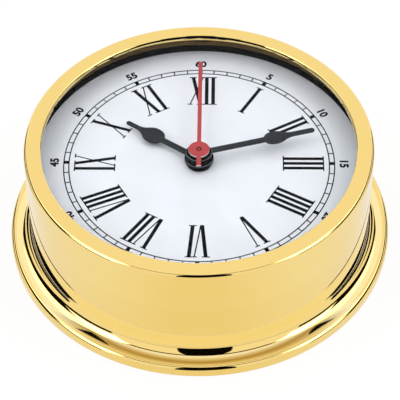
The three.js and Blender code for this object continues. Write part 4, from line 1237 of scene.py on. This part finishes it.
@dataclass
class Studio:
    """A pale floor, a white surround, softboxes and dark cards, and the camera."""

    lens: float = 157.35
    sensor: float = 36.0
    distance: float = 688.7
    elevation: float = 47.211
    swing: float = 1.207
    roll: float = -0.598
    target: tuple[float, float, float] = (0.2, 0.0, 15.4)
    floor_size: float = 6000.0
    floor_white: float = 0.88  # how much of the floor glows to the camera
    floor_mirrored: float = 0.8  # and to the brass
    # The floor as the brass mirrors it is painted: warm and dimmer at the front for the floor's shade
    # by the rim, cooler at the sides.
    mirrored_front_shade: Colour = (0.87, 0.83, 0.67, 1.0)
    mirrored_side: Colour = (0.92, 0.955, 1.02, 1.0)
    side_from: float = 15.0  # where the floor's glow starts to turn from front to side, mm
    side_to: float = 65.0
    diffuse_level: float = 0.7
    board_distance: float = 2500.0
    # Brass mirrored in brass would take its tint twice. The surround is cooler there, which
    # takes the second tint out again, and has one dim belt. The places are sines of heights.
    second_pale: Colour = (1.05, 1.38, 3.2, 1.0)
    second_dim: Colour = (0.5, 0.47, 0.35, 1.0)
    belt: tuple[float, float, float] = (0.797, 0.89, 0.96)

    def build(self) -> None:
        """Sets up everything that isn't part of the clock."""
        bpy.context.scene.view_settings.view_transform = "Standard"
        self._camera()
        self._surround()
        self._floor()
        self._boards()

    def _camera(self) -> None:
        """Places the camera where the photograph was taken from."""
        turns = ((self.swing, "Z"), (90 - self.elevation, "X"), (self.roll, "Z"))
        spun, tilted, rolled = (Matrix.Rotation(math.radians(by), 3, axis) for by, axis in turns)
        turn_to = spun @ tilted @ rolled
        place = (Vector(self.target) + turn_to.col[2] * self.distance) * MM
        deselect()
        bpy.ops.object.camera_add(location=place, rotation=turn_to.to_euler())
        camera = bpy.context.object
        camera.name = "photo_camera"
        camera.data.sensor_width = self.sensor
        camera.data.lens = self.lens
        bpy.context.scene.camera = camera

    @staticmethod
    def _looked_at(tree: Tree) -> Socket:
        """Adds nodes that are one for the camera, reflections and glass.

        Args:
            tree: the node tree.

        Returns:
            The socket.
        """
        rays = add_node(tree, "LightPath")
        larger = {"operation": "MAXIMUM"}
        first = add_node(tree, "Math", larger, {0: rays["Is Camera Ray"], 1: rays["Is Glossy Ray"]})
        both = {0: first[0], 1: rays["Is Transmission Ray"]}
        return add_node(tree, "Math", larger, both)[0]

    def _surround(self) -> None:
        """Makes the world white to the eye and a little dimmer as a light."""
        world = bpy.data.worlds.new("white_surround")
        bpy.context.scene.world = world
        tree = empty_tree(world)
        levels = {"To Min": self.diffuse_level, "To Max": 1.0}
        level = add_node(tree, "MapRange", levels, {"Value": self._looked_at(tree)})[0]
        way = add_node(tree, "TexCoord")["Generated"]
        height = add_node(tree, "SeparateXYZ", {}, {0: way})["Z"]
        second = add_node(tree, "ValToRGB", {}, {0: height})
        stops = second[0].node.color_ramp.elements
        stops.new(self.belt[1])
        tones = (self.second_pale, self.second_dim, self.second_pale)
        for stop, place, tone in zip(stops, self.belt, tones):
            stop.position = place
            stop.color = tone
        mixed = {0: mirrored_again(tree), MIX_B: second["Color"]}
        colour = add_node(tree, "Mix", {"data_type": "RGBA", MIX_A: linear(WHITE)}, mixed)
        links = {"Color": colour[MIX_RESULT], "Strength": level}
        light = add_node(tree, "Background", {}, links)
        add_node(tree, "OutputWorld", {}, {"Surface": light[0]})

    def _floor(self) -> None:
        """Lays the floor, which is nearly white to the eye and keeps the shadow."""
        deselect()
        bpy.ops.mesh.primitive_plane_add(size=self.floor_size * MM)
        floor = bpy.context.object
        floor.name = "pale_floor"
        material = bpy.data.materials.new("white_paper")
        tree = empty_tree(material)
        paper = add_node(tree, "BsdfDiffuse", {"Color": linear(FLOOR_PAPER)})
        mirrored = add_node(tree, "LightPath")["Is Glossy Ray"]
        place = add_node(tree, "TexCoord")["Object"]
        across = add_node(tree, "SeparateXYZ", {}, {0: place})["X"]
        aside = add_node(tree, "Math", {"operation": "ABSOLUTE"}, {0: across})[0]
        reach = {"From Min": self.side_from * MM, "From Max": self.side_to * MM}
        side = add_node(tree, "MapRange", reach, {0: aside})[0]
        # Painted shade: the floor's glow in the brass is warm and dim at the front, cool at the sides.
        tints = {"data_type": "RGBA", MIX_A: self.mirrored_front_shade, MIX_B: self.mirrored_side}
        tint = add_node(tree, "Mix", tints, {0: side})[MIX_RESULT]
        plain = {"data_type": "RGBA", MIX_A: linear(WHITE)}
        first = add_node(tree, "Mix", plain, {0: mirrored, MIX_B: tint})[MIX_RESULT]
        pale = {"data_type": "RGBA", MIX_B: self.second_pale}
        colour = add_node(tree, "Mix", pale, {0: mirrored_again(tree), MIX_A: first})
        glow = add_node(tree, "Emission", {}, {"Color": colour[MIX_RESULT]})
        levels = {"To Min": self.floor_white, "To Max": self.floor_mirrored}
        level = add_node(tree, "MapRange", levels, {0: mirrored})[0]
        shown = {0: self._looked_at(tree), 1: level}
        share = add_node(tree, "Math", {"operation": "MULTIPLY"}, shown)[0]
        mixed = add_node(tree, "MixShader", {}, {0: share, 1: paper[0], 2: glow[0]})
        add_node(tree, "OutputMaterial", {}, {"Surface": mixed[0]})
        floor.data.materials.append(material)

    def _boards(self) -> None:
        """Stands the softboxes and the dark cards round the clock."""
        for board in BOARDS:
            piece = draw_path(board.places(self.board_distance), True)
            edit_all()
            bpy.ops.mesh.edge_face_add()
            bpy.ops.object.mode_set(mode="OBJECT")
            piece.name = board.name
            piece.data.materials.append(self._paper(board))
            lit = board.level > 0
            piece.visible_camera = False
            piece.visible_shadow = False
            piece.visible_diffuse = lit
            piece.visible_transmission = lit

    @staticmethod
    def _paper(board: Board) -> Material:
        """Makes the surface of a board.

        Args:
            board: the board.

        Returns:
            The material, clear in the reflections in which the board isn't seen.
        """
        material = bpy.data.materials.new(board.name)
        tree = empty_tree(material)
        if board.level:
            light = {"Color": linear(board.tint), "Strength": board.level}
            surface = add_node(tree, "Emission", light)
        else:
            surface = add_node(tree, "BsdfDiffuse", {"Color": linear(BLACK_CARD)})
        clear = add_node(tree, "BsdfTransparent")
        near, far = (surface, clear) if board.seen is Seen.FIRST else (clear, surface)
        links = {0: mirrored_again(tree), 1: near[0], 2: far[0]}
        mixed = add_node(tree, "MixShader", {}, links)
        add_node(tree, "OutputMaterial", {}, {"Surface": mixed[0]})
        return material


HOUR_HAND = Spade(
    name="hour_spade", node="hour_hand", body="hour_body", clockwise=304.65,
    bottom=37.9, top=39.5, boss=5.65, bore=2.8, shaft=1.25, neck=17.6, belly=21.8,
    belly_half=3.9, taper=29.5, tip_half=0.95, tip=34.7, rise=0.3,
)
MINUTE_HAND = Spade(
    name="minute_spade", node="minute_hand", body="minute_body", clockwise=73.8,
    bottom=39.9, top=42.1, boss=5.0, bore=1.8, shaft=1.3, neck=26.4, belly=30.0,
    belly_half=3.3, taper=38.0, tip_half=1.1, tip=46.4, rise=1.35,
)


def main() -> None:
    """Builds the clock and its studio in order."""
    logging.basicConfig(level=logging.INFO, format="%(message)s")
    clock = (Case(), Glazing(), Dial(), HOUR_HAND, MINUTE_HAND, SecondHand(), Back(), Movement())
    for assembly in (Studio(), *clock):
        assembly.build()
        LOG.info("%s done", type(assembly).__name__)
    deselect()


if __name__ == "__main__":
    main()
